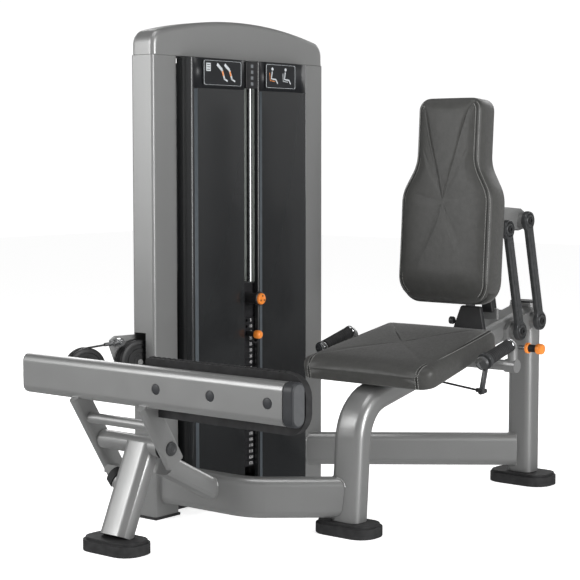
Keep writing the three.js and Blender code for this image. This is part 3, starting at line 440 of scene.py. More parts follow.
def make_world():
    """White behind the machine; a softer studio, dimmer low down, for light and gloss."""
    world = bpy.data.worlds.new("studio")
    bpy.context.scene.world = world
    world.use_nodes = True
    tree = world.node_tree
    tree.nodes.clear()
    place = tree.nodes.new("ShaderNodeTexCoord")
    split = tree.nodes.new("ShaderNodeSeparateXYZ")
    ramp = tree.nodes.new("ShaderNodeValToRGB")
    spread = tree.nodes.new("ShaderNodeMapRange")
    studio = tree.nodes.new("ShaderNodeBackground")
    white = tree.nodes.new("ShaderNodeBackground")
    ray = tree.nodes.new("ShaderNodeLightPath")
    mix = tree.nodes.new("ShaderNodeMixShader")
    out = tree.nodes.new("ShaderNodeOutputWorld")
    spread.inputs["From Min"].default_value = -1
    ramp.color_ramp.elements[0].position = 0.30
    ramp.color_ramp.elements[0].color = (0.16, 0.16, 0.16, 1)
    ramp.color_ramp.elements[1].position = 0.96
    ramp.color_ramp.elements[1].color = (0.30, 0.30, 0.30, 1)
    for position, level in ((0.46, 0.34), (0.54, 0.78), (0.66, 0.62), (0.80, 0.30)):
        ramp.color_ramp.elements.new(position).color = (level, level, level, 1)
    white.inputs["Color"].default_value = (1, 1, 1, 1)
    white.inputs["Strength"].default_value = 1.05
    studio.inputs["Strength"].default_value = 0.5
    links = tree.links
    links.new(place.outputs["Generated"], split.inputs["Vector"])
    links.new(split.outputs["Z"], spread.inputs["Value"])
    links.new(spread.outputs["Result"], ramp.inputs["Fac"])
    links.new(ramp.outputs["Color"], studio.inputs["Color"])
    links.new(ray.outputs["Is Camera Ray"], mix.inputs["Fac"])
    links.new(studio.outputs["Background"], mix.inputs[1])
    links.new(white.outputs["Background"], mix.inputs[2])
    links.new(mix.outputs["Shader"], out.inputs["Surface"])


def make_lights():
    area_light("key_left", (-2.4, -3.6, 2.0), (-0.3, 0.0, 0.6), (1.6, 2.6), 72)
    area_light("fill_right", (4.2, -0.4, 1.6), (0.0, 0.2, 0.6), (1.4, 2.6), 120)
    area_light("top", (-0.2, -0.6, 4.0), (-0.2, 0.2, 0.0), (2.4, 1.2), 26)
    area_light("back_left", (-3.8, 1.6, 2.0), (-0.4, 0.2, 0.6), (1.6, 2.4), 40)
    area_light("back", (-0.9, 4.4, 2.0), (-0.2, 0.3, 0.6), (1.6, 2.4), 34)
    area_light("inside_tower", (-0.522, 0.262, 0.98), (-0.64, 0.262, 0.98), (0.04, 0.7), 0.35)


def make_floor():
    """Pale floor: plain white to the eye, with the soft shade that things cast on it."""
    mesh = bmesh.new()
    bmesh.ops.create_grid(mesh, x_segments=1, y_segments=1, size=14)
    floor = from_bmesh("floor", mesh, smooth=False)
    floor.location.z = -0.0006
    material = bpy.data.materials.new("floor")
    material.use_nodes = True
    tree = material.node_tree
    shader = tree.nodes["Principled BSDF"]
    shader.inputs["Base Color"].default_value = (0.93, 0.93, 0.93, 1)
    shader.inputs["Roughness"].default_value = 0.9
    shader.inputs["Specular IOR Level"].default_value = 0.0
    shader.inputs["Emission Color"].default_value = (1, 1, 1, 1)
    shader.inputs["Emission Strength"].default_value = 0.8
    floor.data.materials.append(material)
    floor.visible_glossy = False


bpy.context.scene.view_settings.view_transform = "Standard"
make_camera()
make_world()
make_lights()
make_floor()


# ---- shapes in the plane ----
def rounded(corners, steps=8):
    """Points of a closed outline whose corners are (x, y, radius)."""
    points = []
    count = len(corners)
    for i, (x, y, radius) in enumerate(corners):
        here = Vector((x, y))
        back = (Vector(corners[i - 1][:2]) - here).normalized()
        on = (Vector(corners[(i + 1) % count][:2]) - here).normalized()
        half = back.angle(on) / 2
        reach = radius / math.tan(half)
        centre = here + (back + on).normalized() * radius / math.sin(half)
        start = here + back * reach - centre
        end = here + on * reach - centre
        turn = start.angle(end)
        for k in range(steps + 1):
            share = k / steps
            arm = start * math.sin((1 - share) * turn) + end * math.sin(share * turn)
            points.append(centre + arm / math.sin(turn))
    return points


def even(points, step):
    """The same closed outline with points about `step` apart."""
    loop = points + [points[0]]
    lengths = [(b - a).length for a, b in zip(loop, loop[1:])]
    total = sum(lengths)
    count = round(total / step)
    made = []
    part = 0
    walked = 0.0
    for i in range(count):
        target = total * i / count
        while walked + lengths[part] < target:
            walked += lengths[part]
            part += 1
        share = (target - walked) / max(lengths[part], 1e-9)
        made.append(loop[part].lerp(loop[part + 1], share))
    return made


def inwards(points):
    """Unit normals that point into a counter-clockwise outline."""
    count = len(points)
    normals = []
    for i in range(count):
        along = points[(i + 1) % count] - points[i - 1]
        normals.append(Vector((-along.y, along.x)).normalized())
    return normals


def slab(name, outline, low, high, put, edge=1.5):
    """A flat piece: outline points in the plane, from low to high; put(x, y, z) gives its place."""
    count = len(outline)
    points = [put(p[0], p[1], z) for z in (low, high) for p in outline]
    faces = [list(range(count)), list(range(count, 2 * count))]
    for i in range(count):
        j = (i + 1) % count
        faces.append([i, j, j + count, i + count])
    return round_edges(from_points(name, points, faces), edge)


def facing_x(x, y, z):
    """Plane pieces on the tower's front: drawn in (y, z), thick along +X."""
    return (z, x, y)


# ---- pads ----
class Pad:
    """A crowned pad: an outline with rolled edges, in its own plane, put in place by put(x, y, z)."""

    def __init__(self, corners, thick, roll, crown, put, fall):
        self.outline = even(rounded(corners), 4.5)
        self.normals = inwards(self.outline)
        self.thick = thick
        self.roll = roll
        self.crown = crown
        self.put = put
        self.fall = fall
        xs = [p.x for p in self.outline]
        ys = [p.y for p in self.outline]
        self.middle = Vector(((min(xs) + max(xs)) / 2, (min(ys) + max(ys)) / 2))

    def height(self, inset, y):
        """Height of the face at `inset` from the rim; it falls away near y = 0."""
        rim = max(0.0, 1 - inset / self.roll)
        rolled = -self.roll * (1 - math.sqrt(max(0.0, 1 - rim * rim)))
        crowned = self.crown * (1 - math.exp(-max(0.0, inset - self.roll) / 32))
        depth, reach = self.fall
        low = max(0.0, 1 - y / reach)
        return rolled + crowned - depth * low * low

    def inset(self, point):
        return min((point - p).length for p in self.outline)

    def build(self, name):
        """The closed form: rings from the underside, over the rolled edge, to the middle."""
        count = len(self.outline)
        rings = []
        underside = ((30, 0), (12, 0), (4, 1.5), (0.5, 6), (0, self.thick - self.roll - 8))
        for inset, z in underside:
            rings.append([(p + n * inset, -self.thick + z) for p, n in zip(self.outline, self.normals)])
        insets = [self.roll * (1 - math.cos(math.pi * k / 18)) for k in range(10)]
        insets += [self.roll + 5, self.roll + 9, self.roll + 14]
        for inset in insets:
            ring = [p + n * inset for p, n in zip(self.outline, self.normals)]
            rings.append([(q, self.height(inset, q.y)) for q in ring])
        last = rings[-1]
        steps = 18
        for k in range(1, steps):
            share = 1 - k / steps
            ring = [self.middle + (q - self.middle) * share for q, _ in last]
            rings.append([(q, self.height(self.inset(q), q.y)) for q in ring])
        points = [self.put(q.x, q.y, z) for ring in rings for q, z in ring]
        centre = self.height(self.inset(self.middle), self.middle.y)
        points.append(self.put(self.middle.x, self.middle.y, centre))
        faces = [list(range(count))]
        for r in range(len(rings) - 1):
            for i in range(count):
                j = (i + 1) % count
                faces.append([r * count + i, r * count + j, (r + 1) * count + j, (r + 1) * count + i])
        top = (len(rings) - 1) * count
        faces += [[top + i, top + (i + 1) % count, len(points) - 1] for i in range(count)]
        obj = from_points(name, points, faces)
        inflate(obj, range(len(underside) * count), cap=0.003)
        return obj

    def seam(self, name, body, line, drop):
        """A sewn seam along plane points, then down the edge by `drop`, with a near-black line of painted
        shade along it and a thread row on both sides.
        """
        rows = {0: [], -4.6: [], 4.6: []}
        for i, p in enumerate(line):
            along = (line[min(i + 1, len(line) - 1)] - line[max(i - 1, 0)]).normalized()
            side = Vector((-along.y, along.x))
            for offset, row in rows.items():
                q = p + side * offset
                row.append(self.put(q.x, q.y, self.height(self.inset(q), q.y) + 0.3))
        for offset, row in rows.items():
            if drop:
                p = line[0]
                foot = [(-self.roll * 0.6, 0.4), (-self.roll, -0.4), (-self.roll - drop, -0.5)]
                base = self.height(0, 0) + self.roll
                extra = [self.put(p.x + offset, y, base + z) for z, y in foot]
                row[:0] = extra[::-1]
        # A thin near-black bar along the seam line: painted shade in the sewn groove.
        groove = curve(f"{name}_seam_painted_shade", rows.pop(0), 1.0, resolution=2)
        settle(groove, body, "upholstery", SEAM_PAINTED_SHADE)
        for number, row in enumerate(rows.values()):
            stitched(f"{name}_thread_{number + 1}", body, row)


def stitched(name, body, row, length=4.4, gap=2.0):
    """Short raised threads along a row of points."""
    data = bpy.data.curves.new(name, "CURVE")
    data.dimensions = "3D"
    data.bevel_depth = 0.0008
    data.bevel_resolution = 2
    data.use_fill_caps = True
    places = [Vector(p) for p in row]
    for a, b in zip(places, places[1:]):
        size = (b - a).length
        steps = max(1, round(size / (length + gap)))
        for k in range(steps):
            start = a.lerp(b, k / steps)
            end = a.lerp(b, (k + length / (length + gap)) / steps)
            spline = data.splines.new("POLY")
            spline.points.add(1)
            spline.points[0].co = (*(start * MM), 1)
            spline.points[1].co = (*(end * MM), 1)
    obj = bpy.data.objects.new(name, data)
    bpy.context.scene.collection.objects.link(obj)
    return settle(obj, body, "upholstery", THREAD)


def inflate(obj, pinned, cap):
    """Cloth pressure swells the cover above its held underside; no point moves further than cap metres."""
    rest = [v.co.copy() for v in obj.data.vertices]
    group = obj.vertex_groups.new(name="held")
    group.add(list(pinned), 1.0, "REPLACE")
    cloth = obj.modifiers.new("cover", "CLOTH")
    settings = cloth.settings
    settings.quality = 4
    settings.mass = 0.4
    settings.tension_stiffness = 30
    settings.compression_stiffness = 30
    settings.bending_stiffness = 2
    settings.use_pressure = True
    settings.uniform_pressure_force = 3
    settings.vertex_group_mass = "held"
    settings.effector_weights.gravity = 0
    cloth.collision_settings.use_collision = False
    scene = bpy.context.scene
    for step in range(1, 13):
        scene.frame_set(step)
    shape = obj.evaluated_get(bpy.context.evaluated_depsgraph_get())
    moved = [v.co.copy() for v in shape.data.vertices]
    obj.modifiers.remove(cloth)
    scene.frame_set(1)
    for vertex, old, new in zip(obj.data.vertices, rest, moved):
        shift = new - old
        if shift.length > cap:
            shift *= cap / shift.length
        vertex.co = old + shift
    obj.data.update()


def seat_place(x, y, z):
    tilt = math.radians(SEAT["tilt"])
    return (
        x,
        SEAT["y"] + y * math.cos(tilt) - z * math.sin(tilt),
        SEAT["z"] + y * math.sin(tilt) + z * math.cos(tilt),
    )


def back_place(x, y, z):
    lean = math.radians(BACK["lean"])
    return (
        x,
        BACK["y"] + y * math.sin(lean) - z * math.cos(lean),
        BACK["z"] + y * math.cos(lean) + z * math.sin(lean),
    )


def finish_pad(obj, body, node):
    settle(obj, body, "upholstery", LEATHER, [node])


def make_seat():
    front, rear, length = SEAT["front"] / 2, SEAT["rear"] / 2, SEAT["length"]
    corners = [(-front, 0, 40), (front, 0, 40), (rear, length, 26), (-rear, length, 26)]
    pad = Pad(corners, SEAT["thick"], 22, 7, seat_place, (9, 40))
    finish_pad(pad.build("seat_cushion"), "frame", "seat_pad")
    for side, word in ((-1, "right"), (1, "left")):
        start, end = Vector((side * (front - 42), 6)), Vector((side * (rear - 12), length - 16))
        middle = Vector((side * (front - 26), 90))
        line = []
        for i in range(61):
            t = i / 60
            line.append(start * (1 - t) ** 2 + middle * 2 * t * (1 - t) + end * t * t)
        pad.seam(f"seat_{word}_seam", "frame", line, 26)


def make_back():
    wide, head, high = BACK["wide"] / 2, BACK["head"] / 2, BACK["high"]
    corners = [
        (-wide, 0, 72), (wide, 0, 72), (wide, 335, 110), (head, 425, 110),
        (head, high, 38), (-head, high, 38), (-head, 425, 110), (-wide, 335, 110),
    ]
    pad = Pad(corners, BACK["thick"], 24, 6, back_place, (24, 92))
    finish_pad(pad.build("back_cushion"), "back", "back_pad")
    for word, side, inset in (("left", 1, 9), ("right", -1, 20)):
        line = [
            p + n * inset
            for p, n in zip(pad.outline, pad.normals)
            if p.x * side > head - 22 and 14 < p.y < high - 8
        ]
        pad.seam(f"back_{word}_seam", "back", line, 0)


# ---- frame and tower ----
TUBES = (
    "front_post", "rear_post", "rear_rail", "base_tube", "footplate_leg", "leg_brace",
    "left_column", "right_column", "footplate_bar", "left_arm", "right_arm",
    "handle_bar", "carriage", "link_base",
)
WELDS = (
    ("base_tube", "front_post"), ("base_tube", "left_column"), ("rear_rail", "rear_post"),
    ("rear_rail", "right_column"), ("front_post", "rear_post"), ("leg_brace", "footplate_leg"),
    ("leg_brace", "base_tube"), ("left_arm", "footplate_bar"), ("right_arm", "footplate_bar"),
    ("link_base", "rear_post"), ("front_post", "handle_bar"),
)


def cap_outline():
    """The arched cap seen from the tower's front, as points in (y, z)."""
    low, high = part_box("top_cap")
    y0, y1, z0, z1 = low.y / MM, high.y / MM, low.z / MM, high.z / MM
    middle, half = (y0 + y1) / 2, (y1 - y0) / 2
    right = [Vector((middle + half, z0))]
    steep = math.radians(78)
    for i in range(13):
        angle = steep * i / 12
        right.append(Vector((middle + half - 46 * (1 - math.cos(angle)), z1 - 86 + 46 * math.sin(angle))))
    reach, shoulder = half - 46 * (1 - math.cos(steep)), right[-1].y
    for i in range(1, 24):
        t = i / 24
        right.append(Vector((middle + reach * (1 - t), shoulder + (z1 - shoulder) * (2 * t - t * t))))
    left = [Vector((2 * middle - p.x, p.y)) for p in reversed(right)]
    return right + [Vector((middle, z1))] + left


def make_cap():
    low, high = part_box("top_cap")
    cap = slab("arched_cap", cap_outline(), low.x / MM, high.x / MM, facing_x)
    weights = cap.data.attributes.new("bevel_weight_edge", "FLOAT", "EDGE")
    base = low.z + 0.001
    for edge in cap.data.edges:
        ends = [cap.data.vertices[v].co for v in edge.vertices]
        across = abs(ends[0].x - ends[1].x) > 0.01
        raised = any(p.z > base for p in ends)
        weights.data[edge.index].value = 1.0 if raised and not across else 0.1
    bevel = cap.modifiers["edges"]
    bevel.limit_method = "WEIGHT"
    bevel.width = 0.016
    bevel.segments = 6
    settle(cap, "frame", "silver_paint", None, ["top_cap"])


def make_frame():
    for node in TUBES:
        refined(node, 1.6)
    make_cap()
    for node in ("front_foot", "rear_foot", "leg_foot"):
        refined(node, 4.0)
    for node in ("left_sole", "right_sole", "tower_base", "seat_pan", "moving_pulley_bracket"):
        refined(node, 0.8)
    for node in ("left_front_shroud", "right_front_shroud", "rear_shroud"):
        refined(node, 0.8, angle=40)
    for node in ("back_shell", "stop_bumper"):
        refined(node, 2.0)
    for node in ("head_plate", "weight_plate_1", "weight_plate_2", "weight_plate_3", "resting_plates"):
        refined(node, 0.9)
    for node in ("left_placard", "right_placard"):
        refined(node, 0.5)
    for node in ("cable_anchor", "release_rod", "release_crank", "tread_plate"):
        refined(node, 0.8)
    refined("bar_end_cap", 5.0, MOULDING)


def weld_bead(node, neighbour):
    """A low bead along the edges of a tube's end where it meets its neighbour."""
    surface = bmesh.new()
    surface.from_mesh(NODES[neighbour].data)
    tree = BVHTree.FromBMesh(surface)
    surface.free()
    mesh = bmesh.new()
    mesh.from_mesh(NODES[node].data)
    bmesh.ops.remove_doubles(mesh, verts=mesh.verts, dist=2e-5)
    data = bpy.data.curves.new(f"weld_{node}_{neighbour}", "CURVE")
    data.dimensions = "3D"
    data.bevel_depth = 0.0028
    data.bevel_resolution = 3
    data.use_fill_caps = True
    for edge in mesh.edges:
        if len(edge.link_faces) != 2 or edge.calc_face_angle() < math.radians(28):
            continue
        ends = [v.co for v in edge.verts]
        tests = [*ends, (ends[0] + ends[1]) / 2]
        if all((tree.find_nearest(p)[3] or 1) < 0.0009 for p in tests):
            spline = data.splines.new("POLY")
            spline.points.add(1)
            for point, place in zip(spline.points, ends):
                point.co = (*place, 1)
    mesh.free()
    if not data.splines:
        return
    obj = bpy.data.objects.new(data.name, data)
    bpy.context.scene.collection.objects.link(obj)
    settle(obj, NODES[node]["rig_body"], "silver_paint")


def make_rear_post_cap():
    outline = rounded([(-44, -36, 22), (44, -36, 22), (44, 36, 22), (-44, 36, 22)])
    post = slab("rear_post_cap", outline, 0, 5, lambda x, y, z: (x, 957 + y, 600 + z), 2)
    settle(post, "frame", "black_plastic")


# ---- weight stack ----
def make_stack_details():
    total = STACK["count"]
    lines = [str(5 + 5 * i) for i in range(total)]
    size = 13.0
    for name, body, first, last in (
        ("lifted_numbers", "lifted_stack", 0, 3), ("resting_numbers", "frame", 3, total),
    ):
        data = bpy.data.curves.new(name, "FONT")
        data.body = "\n".join(lines[first:last])
        data.size = size * MM
        data.space_line = STACK["pitch"] / size
        data.align_x = "CENTER"
        data.extrude = 0.0001
        obj = bpy.data.objects.new(name, data)
        z = STACK["bottom"] + (total - 1 - first) * STACK["pitch"] + 5
        obj.matrix_world = Matrix((
            (0, 0, 1, (STACK["front_x"] + 0.3) * MM),
            (1, 0, 0, 179 * MM),
            (0, 1, 0, z * MM),
            (0, 0, 0, 1),
        ))
        bpy.context.scene.collection.objects.link(obj)
        settle(obj, body, "plate_iron", WHITE_PRINT)


def make_rods():
    for node in ("left_guide_rod", "right_guide_rod"):
        low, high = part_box(node)
        middle = (low + high) / 2 / MM
        length = (high.z - low.z) / MM
        profile = [(8.5, 0), (9.5, 1), (9.5, length - 1), (8.5, length)]
        rod = lathe("shown_" + node, profile, (middle.x, middle.y, low.z / MM), (0, 0, 1), 48)
        settle(rod, "frame", "chrome_steel", None, [node])


def make_dial():
    x = -525
    y, z = SLOT_Y, 637.9
    body = [(9, -18), (9, 0), (17, 0), (17, 44), (21.5, 47), (21.5, 58), (19, 60), (0, 60)]
    ring = lathe("dial_ring", body, (x, y, z), (1, 0, 0))
    settle(ring, "dial", "black_plastic", PLASTIC)
    face = [(0, 59), (18, 59), (18, 62), (16.5, 66), (13, 67.5), (0, 68)]
    disc = lathe("dial_face", face, (x, y, z), (1, 0, 0))
    settle(disc, "dial", "orange_plastic", None, ["increment_dial"])
    for i in range(3):
        angle = math.radians(90 + 120 * i)
        mark_y, mark_z = y + 9 * math.cos(angle), z + 9 * math.sin(angle)
        mark = lathe(f"dial_mark_{i + 1}", [(0, 67), (2.6, 67), (2.4, 68.6), (0, 68.8)],
                     (x, mark_y, mark_z), (1, 0, 0), 24)
        settle(mark, "dial", "black_plastic")


def make_pin():
    x = -523
    z = 526
    shank = [(4.5, -85), (4.5, 6), (9, 8), (9, 32), (11, 35), (11, 40), (0, 40)]
    settle(lathe("pin_shank", shank, (x, SLOT_Y, z), (1, 0, 0)), "pin", "black_plastic")
    knob = [(0, 38), (12.5, 38), (13, 41), (13, 52), (11, 57), (7, 59.5), (0, 60)]
    piece = lathe("pin_knob", knob, (x, SLOT_Y, z), (1, 0, 0))
    settle(piece, "pin", "orange_plastic", None, ["selector_pin"])
    loop = []
    for i in range(25):
        angle = math.radians(60 + 240 * i / 24 + 90)
        loop.append((x + 28, SLOT_Y + 10 + 15 * math.cos(angle), z - 14 + 13 * math.sin(angle)))
    settle(curve("pin_loop", loop, 2.2), "pin", "black_plastic")


def outline_ring(name, wide, high, radius, line, x, y, z):
    """A thin printed border: a rounded rectangle of the given line width."""
    corners = [(-wide, -high), (wide, -high), (wide, high), (-wide, high)]
    outer = rounded([(a, b, radius) for a, b in corners])
    inner = [p * ((wide - line) / wide) for p in outer]
    count = len(outer)
    points = [(x, y + p.x, z + p.y) for p in [*outer, *inner]]
    faces = [[i, (i + 1) % count, count + (i + 1) % count, count + i] for i in range(count)]
    return settle(from_points(name, points, faces, False), "frame", "placard", PRINT)


def flat_shape(name, points, x, material, body="frame"):
    """A printed shape on the tower's front, from (y, z) points."""
    made = from_points(name, [(x, y, z) for y, z in points], [list(range(len(points)))], False)
    return settle(made, body, "placard", material)


def thick_line(points, width):
    """Outline of a line of even width through (y, z) points."""
    left, right = [], []
    for i, p in enumerate(points):
        a = Vector(points[max(0, i - 1)])
        b = Vector(points[min(len(points) - 1, i + 1)])
        along = (b - a).normalized()
        side = Vector((-along.y, along.x)) * width / 2
        left.append(tuple(Vector(p) + side))
        right.append(tuple(Vector(p) - side))
    return left + right[::-1]


def make_placards():
    for node, wide in (("left_placard", 84), ("right_placard", 71)):
        low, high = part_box(node)
        x = high.x / MM + 0.15
        y, z = (low.y + high.y) / 2 / MM, (low.z + high.z) / 2 / MM
        outline_ring(f"{node}_border", wide, 36, 6, 1.6, x, y, z)
        if node == "left_placard":
            page = [(y - 74, z + 4), (y - 54, z + 4), (y - 54, z + 28), (y - 74, z + 28)]
            flat_shape("page_sign", page, x, PRINT)
            for i in range(3):
                row = thick_line([(y - 71, z + 23 - 7 * i), (y - 57, z + 23 - 7 * i)], 2)
                flat_shape(f"page_line_{i + 1}", row, x + 0.1, PLACARD)
            for i, shift in enumerate((0, 34)):
                thigh = [(y - 26 + shift, z + 26), (y - 4 + shift, z + 10)]
                shin = [(y - 4 + shift, z + 10), (y + 8 + shift, z - 18)]
                foot = [(y + 6 + shift, z - 17), (y + 22 + shift, z - 23)]
                calf = [(y - 1 + shift, z + 6), (y + 2 + shift, z - 8)]
                flat_shape(f"leg_thigh_{i + 1}", thick_line(thigh, 9), x, PRINT)
                flat_shape(f"leg_shin_{i + 1}", thick_line(shin, 7), x, PRINT)
                flat_shape(f"leg_foot_{i + 1}", thick_line(foot, 5), x, PRINT)
                flat_shape(f"leg_calf_{i + 1}", thick_line(calf, 6), x + 0.1, SKIN_PRINT)
        else:
            for i, shift in enumerate((-38, 26)):
                at = y + shift
                body_line = [(at - 4, z + 14), (at - 8, z - 8), (at + 14, z - 10), (at + 22, z - 22)]
                flat_shape(f"sitter_{i + 1}", thick_line(body_line, 5), x, PRINT)
                turns = [k / 6 * math.pi for k in range(12)]
                head = [(at - 3 + 5 * math.cos(turn), z + 22 + 5 * math.sin(turn)) for turn in turns]
                flat_shape(f"sitter_head_{i + 1}", head, x, PRINT)
                seat = [(at - 16, z + 10), (at - 14, z - 14), (at + 8, z - 16)]
                flat_shape(f"sitter_seat_{i + 1}", thick_line(seat, 2.4), x, SKIN_PRINT if i == 0 else PRINT)


def shroud_line(side, first, last, above):
    """Points in (x, y) along a front shroud's bulged face, between shares first and last of its width."""
    near, far, bulge = 31, 278, 6
    line = []
    for i in range(9):
        share = first + (last - first) * i / 8
        y = SLOT_Y + side * (near + 5 + (far - near - 19) * share)
        line.append((SHROUD_FACE_X + bulge * 4 * share * (1 - share) + above, y))
    return line


def shroud_strip(name, side, first, last, z0, z1, above, slot, material):
    """A thin skin on a front shroud."""
    line = shroud_line(side, first, last, above)
    points = [(x, y, z) for z in (z0, z1) for x, y in line]
    count = len(line)
    faces = [[i, i + 1, count + i + 1, count + i] for i in range(count - 1)]
    obj = from_points(name, points, faces)
    thick = obj.modifiers.new("thick", "SOLIDIFY")
    thick.thickness = 0.0006
    thick.offset = 0
    return settle(obj, "frame", slot, material)


def make_shroud_details():
    for side, word in ((-1, "left"), (1, "right")):
        shroud_strip(f"{word}_head_band", side, 0, 1, 1278, 1367, 0.4, "placard", PLACARD)
    # Thin blue-grey strips along the shrouds' folded edges: a painted highlight where the folds catch the
    # light.
    shroud_strip("left_fold_painted_highlight", -1, 0.93, 0.99, 42, 1276, 0.4, "gloss_shroud", PAINTED_FOLD_HIGHLIGHT)
    shroud_strip("right_fold_painted_highlight", 1, 0.0, 0.045, 42, 1276, 0.4, "gloss_shroud", PAINTED_FOLD_HIGHLIGHT)
    # A grey-green sheet behind the stack: its black plastic painted lighter, a painted light standing for
    # the lit wall.
    wall = slab("stack_back_wall", [Vector(p) for p in ((226, 110), (352, 110), (352, 1362), (226, 1362))],
                -640, -637, facing_x, 0.5)
    settle(wall, "frame", "black_plastic", WALL_PAINTED_LIGHT)


def make_slot_head():
    outline = rounded([(133, 1284, 3), (187, 1284, 3), (187, 1366, 3), (133, 1366, 3)])
    block = slab("slot_head", outline, -516, -499, facing_x, 1.5)
    settle(block, "frame", "black_plastic")
    for i in range(4):
        z = 1352 - 18 * i
        sign = [(154, z - 5), (166, z - 5), (166, z + 5), (154, z + 5)]
        flat_shape(f"slot_sign_{i + 1}", sign, -498.7, GREY_PRINT)


# ---- pulleys ----
def wheel(name, radius, half, place, direction, body, nodes):
    """A broad pulley: two flanges with stepped rings, a groove, a hub."""
    side = [
        (0, half + 1), (9, half + 1), (9, half), (20, half), (20.5, half - 1.5), (28, half - 1.5),
        (29, half - 0.2), (radius - 26, half - 0.2), (radius - 25, half - 2.4), (radius - 15, half - 2.4),
        (radius - 13.5, half), (radius - 3, half), (radius, half - 2.5), (radius, half - 6),
    ]
    if radius < 50:
        side = [
            (0, half + 1), (9, half + 1), (9, half), (18, half), (19, half - 2), (radius - 8, half - 2),
            (radius - 7, half), (radius - 2, half), (radius, half - 2), (radius, half - 5),
        ]
    groove = [(radius - 6, 3.2), (radius - 6, -3.2)]
    profile = side + groove + [(r, -x) for r, x in reversed(side)]
    made = lathe(name, profile, place, direction, 72)
    return settle(made, body, "black_plastic", None, nodes)


def make_pulleys():
    turn = math.radians(YAW)
    yawed = (math.cos(turn), -math.sin(turn), 0)
    wheel("moving_wheel_disc", 66, 15, AXLES["moving"], yawed, "moving_wheel", ["moving_pulley"])
    wheel("column_wheel_disc", 66, 15, AXLES["column"], yawed, "column_wheel", ["column_pulley"])
    for name, body, node in (
        ("side", "side_top_wheel", "side_top_pulley"), ("stack", "stack_top_wheel", "stack_top_pulley"),
    ):
        x, y, z = TOP_AXLES[name]
        low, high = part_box(node)
        y = (low.y + high.y) / 2 / MM
        wheel(f"{name}_top_disc", 43, 12, (x, y, z), (1, 0, 0), body, [node])
        half = (high.x - low.x) / 2 / MM
        axle = lathe(f"{name}_top_axle", [(7.5, -half), (8, -half + 1), (8, half - 1), (7.5, half)],
                     ((low.x + high.x) / 2 / MM, y, z), (1, 0, 0), 32)
        settle(axle, body, "chrome_steel")


# ---- swinging footplate ----
def make_footplate():
    x0 = BAR["front"]
    for i, x in enumerate(BAR["bolts"]):
        cap = [(0, 0), (14.8, 0), (14.8, 2.2), (13.8, 4.0), (9, 5.4), (0, 6.0)]
        bolt = lathe(f"bar_bolt_{i + 1}", cap, (x, x0 + 4, BAR["z"]), (0, -1, 0), 48)
        settle(bolt, "footplate", "black_plastic", MOULDING)
    low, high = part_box("footplate_bar")
    middle = (low + high) / 2 / MM
    deep, tall = 24.5, 56.5
    corners = [(-deep, -tall, 23), (deep, -tall, 23), (deep, tall, 23), (-deep, tall, 23)]
    left = low.x / MM
    plug = slab("bar_left_plug", rounded(corners), left - 3, left,
                lambda y, z, x: (x, middle.y + y, middle.z + z), 1.5)
    settle(plug, "footplate", "black_plastic", MOULDING)
    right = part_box("bar_end_cap")[1].x / MM
    inner = [(x * 0.86, z * 0.93, r - 3) for x, z, r in corners]
    face = slab("bar_right_face", rounded(inner), right - 1, right + 1.5,
                lambda y, z, x: (x, middle.y + y, middle.z + z), 1)
    settle(face, "footplate", "black_plastic", END_GREY)


def tread_top(x):
    """Height of the tread's upper edge at x, with its round right corner."""
    radius = 60
    over = x - (TREAD["right"] - radius)
    if over <= 0:
        return TREAD["top"]
    return TREAD["top"] - radius + math.sqrt(max(0, radius * radius - over * over))


def make_tread_ribs():
    back = TREAD["front"] + TREAD["deep"]
    x = TREAD["left"] + 12
    number = 1
    while x < TREAD["right"] - 62:
        top = tread_top(x)
        low = TREAD["bottom"] + TREAD["top"] - top + 12
        path = [(x, back - 1, low), (x, back - 1, top - 7), (x, back - 4, top - 1.6),
                (x, back - 10, top - 0.6), (x, TREAD["front"] + 6, top - 0.6)]
        rib = curve(f"tread_rib_{number}", path, 3.6, resolution=3)
        settle(rib, "footplate", "black_rubber")
        x += 19
        number += 1


def make_pivot():
    y, z = PIVOT["y"], PIVOT["z"]
    low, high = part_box("pivot_shaft")
    left, right = low.x / MM, high.x / MM
    profile = [
        (0, left), (15, left), (19, left + 2), (20, left + 5), (20, left + 7), (13, left + 7),
        (13, right - 8), (20, right - 8), (20, right - 5), (18.5, right - 3), (12, right - 1.6),
        (11, right - 2.4), (5, right - 2.4), (0, right - 2.4),
    ]
    shaft = lathe("pivot_shaft_turned", profile, (0, y, z), (1, 0, 0))
    settle(shaft, "footplate", "dark_cast", None, ["pivot_shaft"])
    seal = [(27.5, -296.8), (30, -295.5), (30, -292.5), (15, -292), (15, -296.8)]
    settle(lathe("pivot_seal", seal, (0, y, z), (1, 0, 0)), "frame", "black_rubber")


# ---- handles and release ----
def handle_line():
    """Front end and unit direction of the straight part of both handles, in (y, z)."""
    front = Vector((240, 490))
    rear = Vector((405, 533))
    return front, (rear - front).normalized()


def make_handles():
    front, along = handle_line()
    direction = (0, along.x, along.y)
    for side, node, start, length in ((1, "left_grip", 30, 114), (-1, "right_grip", 16, 128)):
        place = (side * 290, front.x, front.y)
        profile = [(16, start), (18.6, start), (19, start + 1.5)]
        for i in range(1, 13):
            a = start + 4 + (length - 8) * i / 13
            profile += [(19, a - 2), (18.5, a - 0.8), (18.5, a + 0.8), (19, a + 2)]
        profile += [(19, start + length - 1.5), (18.6, start + length), (16, start + length)]
        grip = lathe(f"{node}_ribbed", profile, place, direction)
        settle(grip, "frame", "black_rubber", None, [node])
        cap = [(0, -6), (14, -6), (19, -4.6), (20, -2), (20, 7), (19, 9), (15.4, 9), (15.4, 3), (0, 3)]
        settle(lathe(f"{node}_end", cap, place, direction), "frame", "chrome_steel")
        collar = [(15.2, start + length + 0.6), (19, start + length + 0.6), (20, start + length + 2),
                  (20, start + length + 9), (19, start + length + 10.5), (15.2, start + length + 10.5)]
        settle(lathe(f"{node}_collar", collar, place, direction), "frame", "chrome_steel")


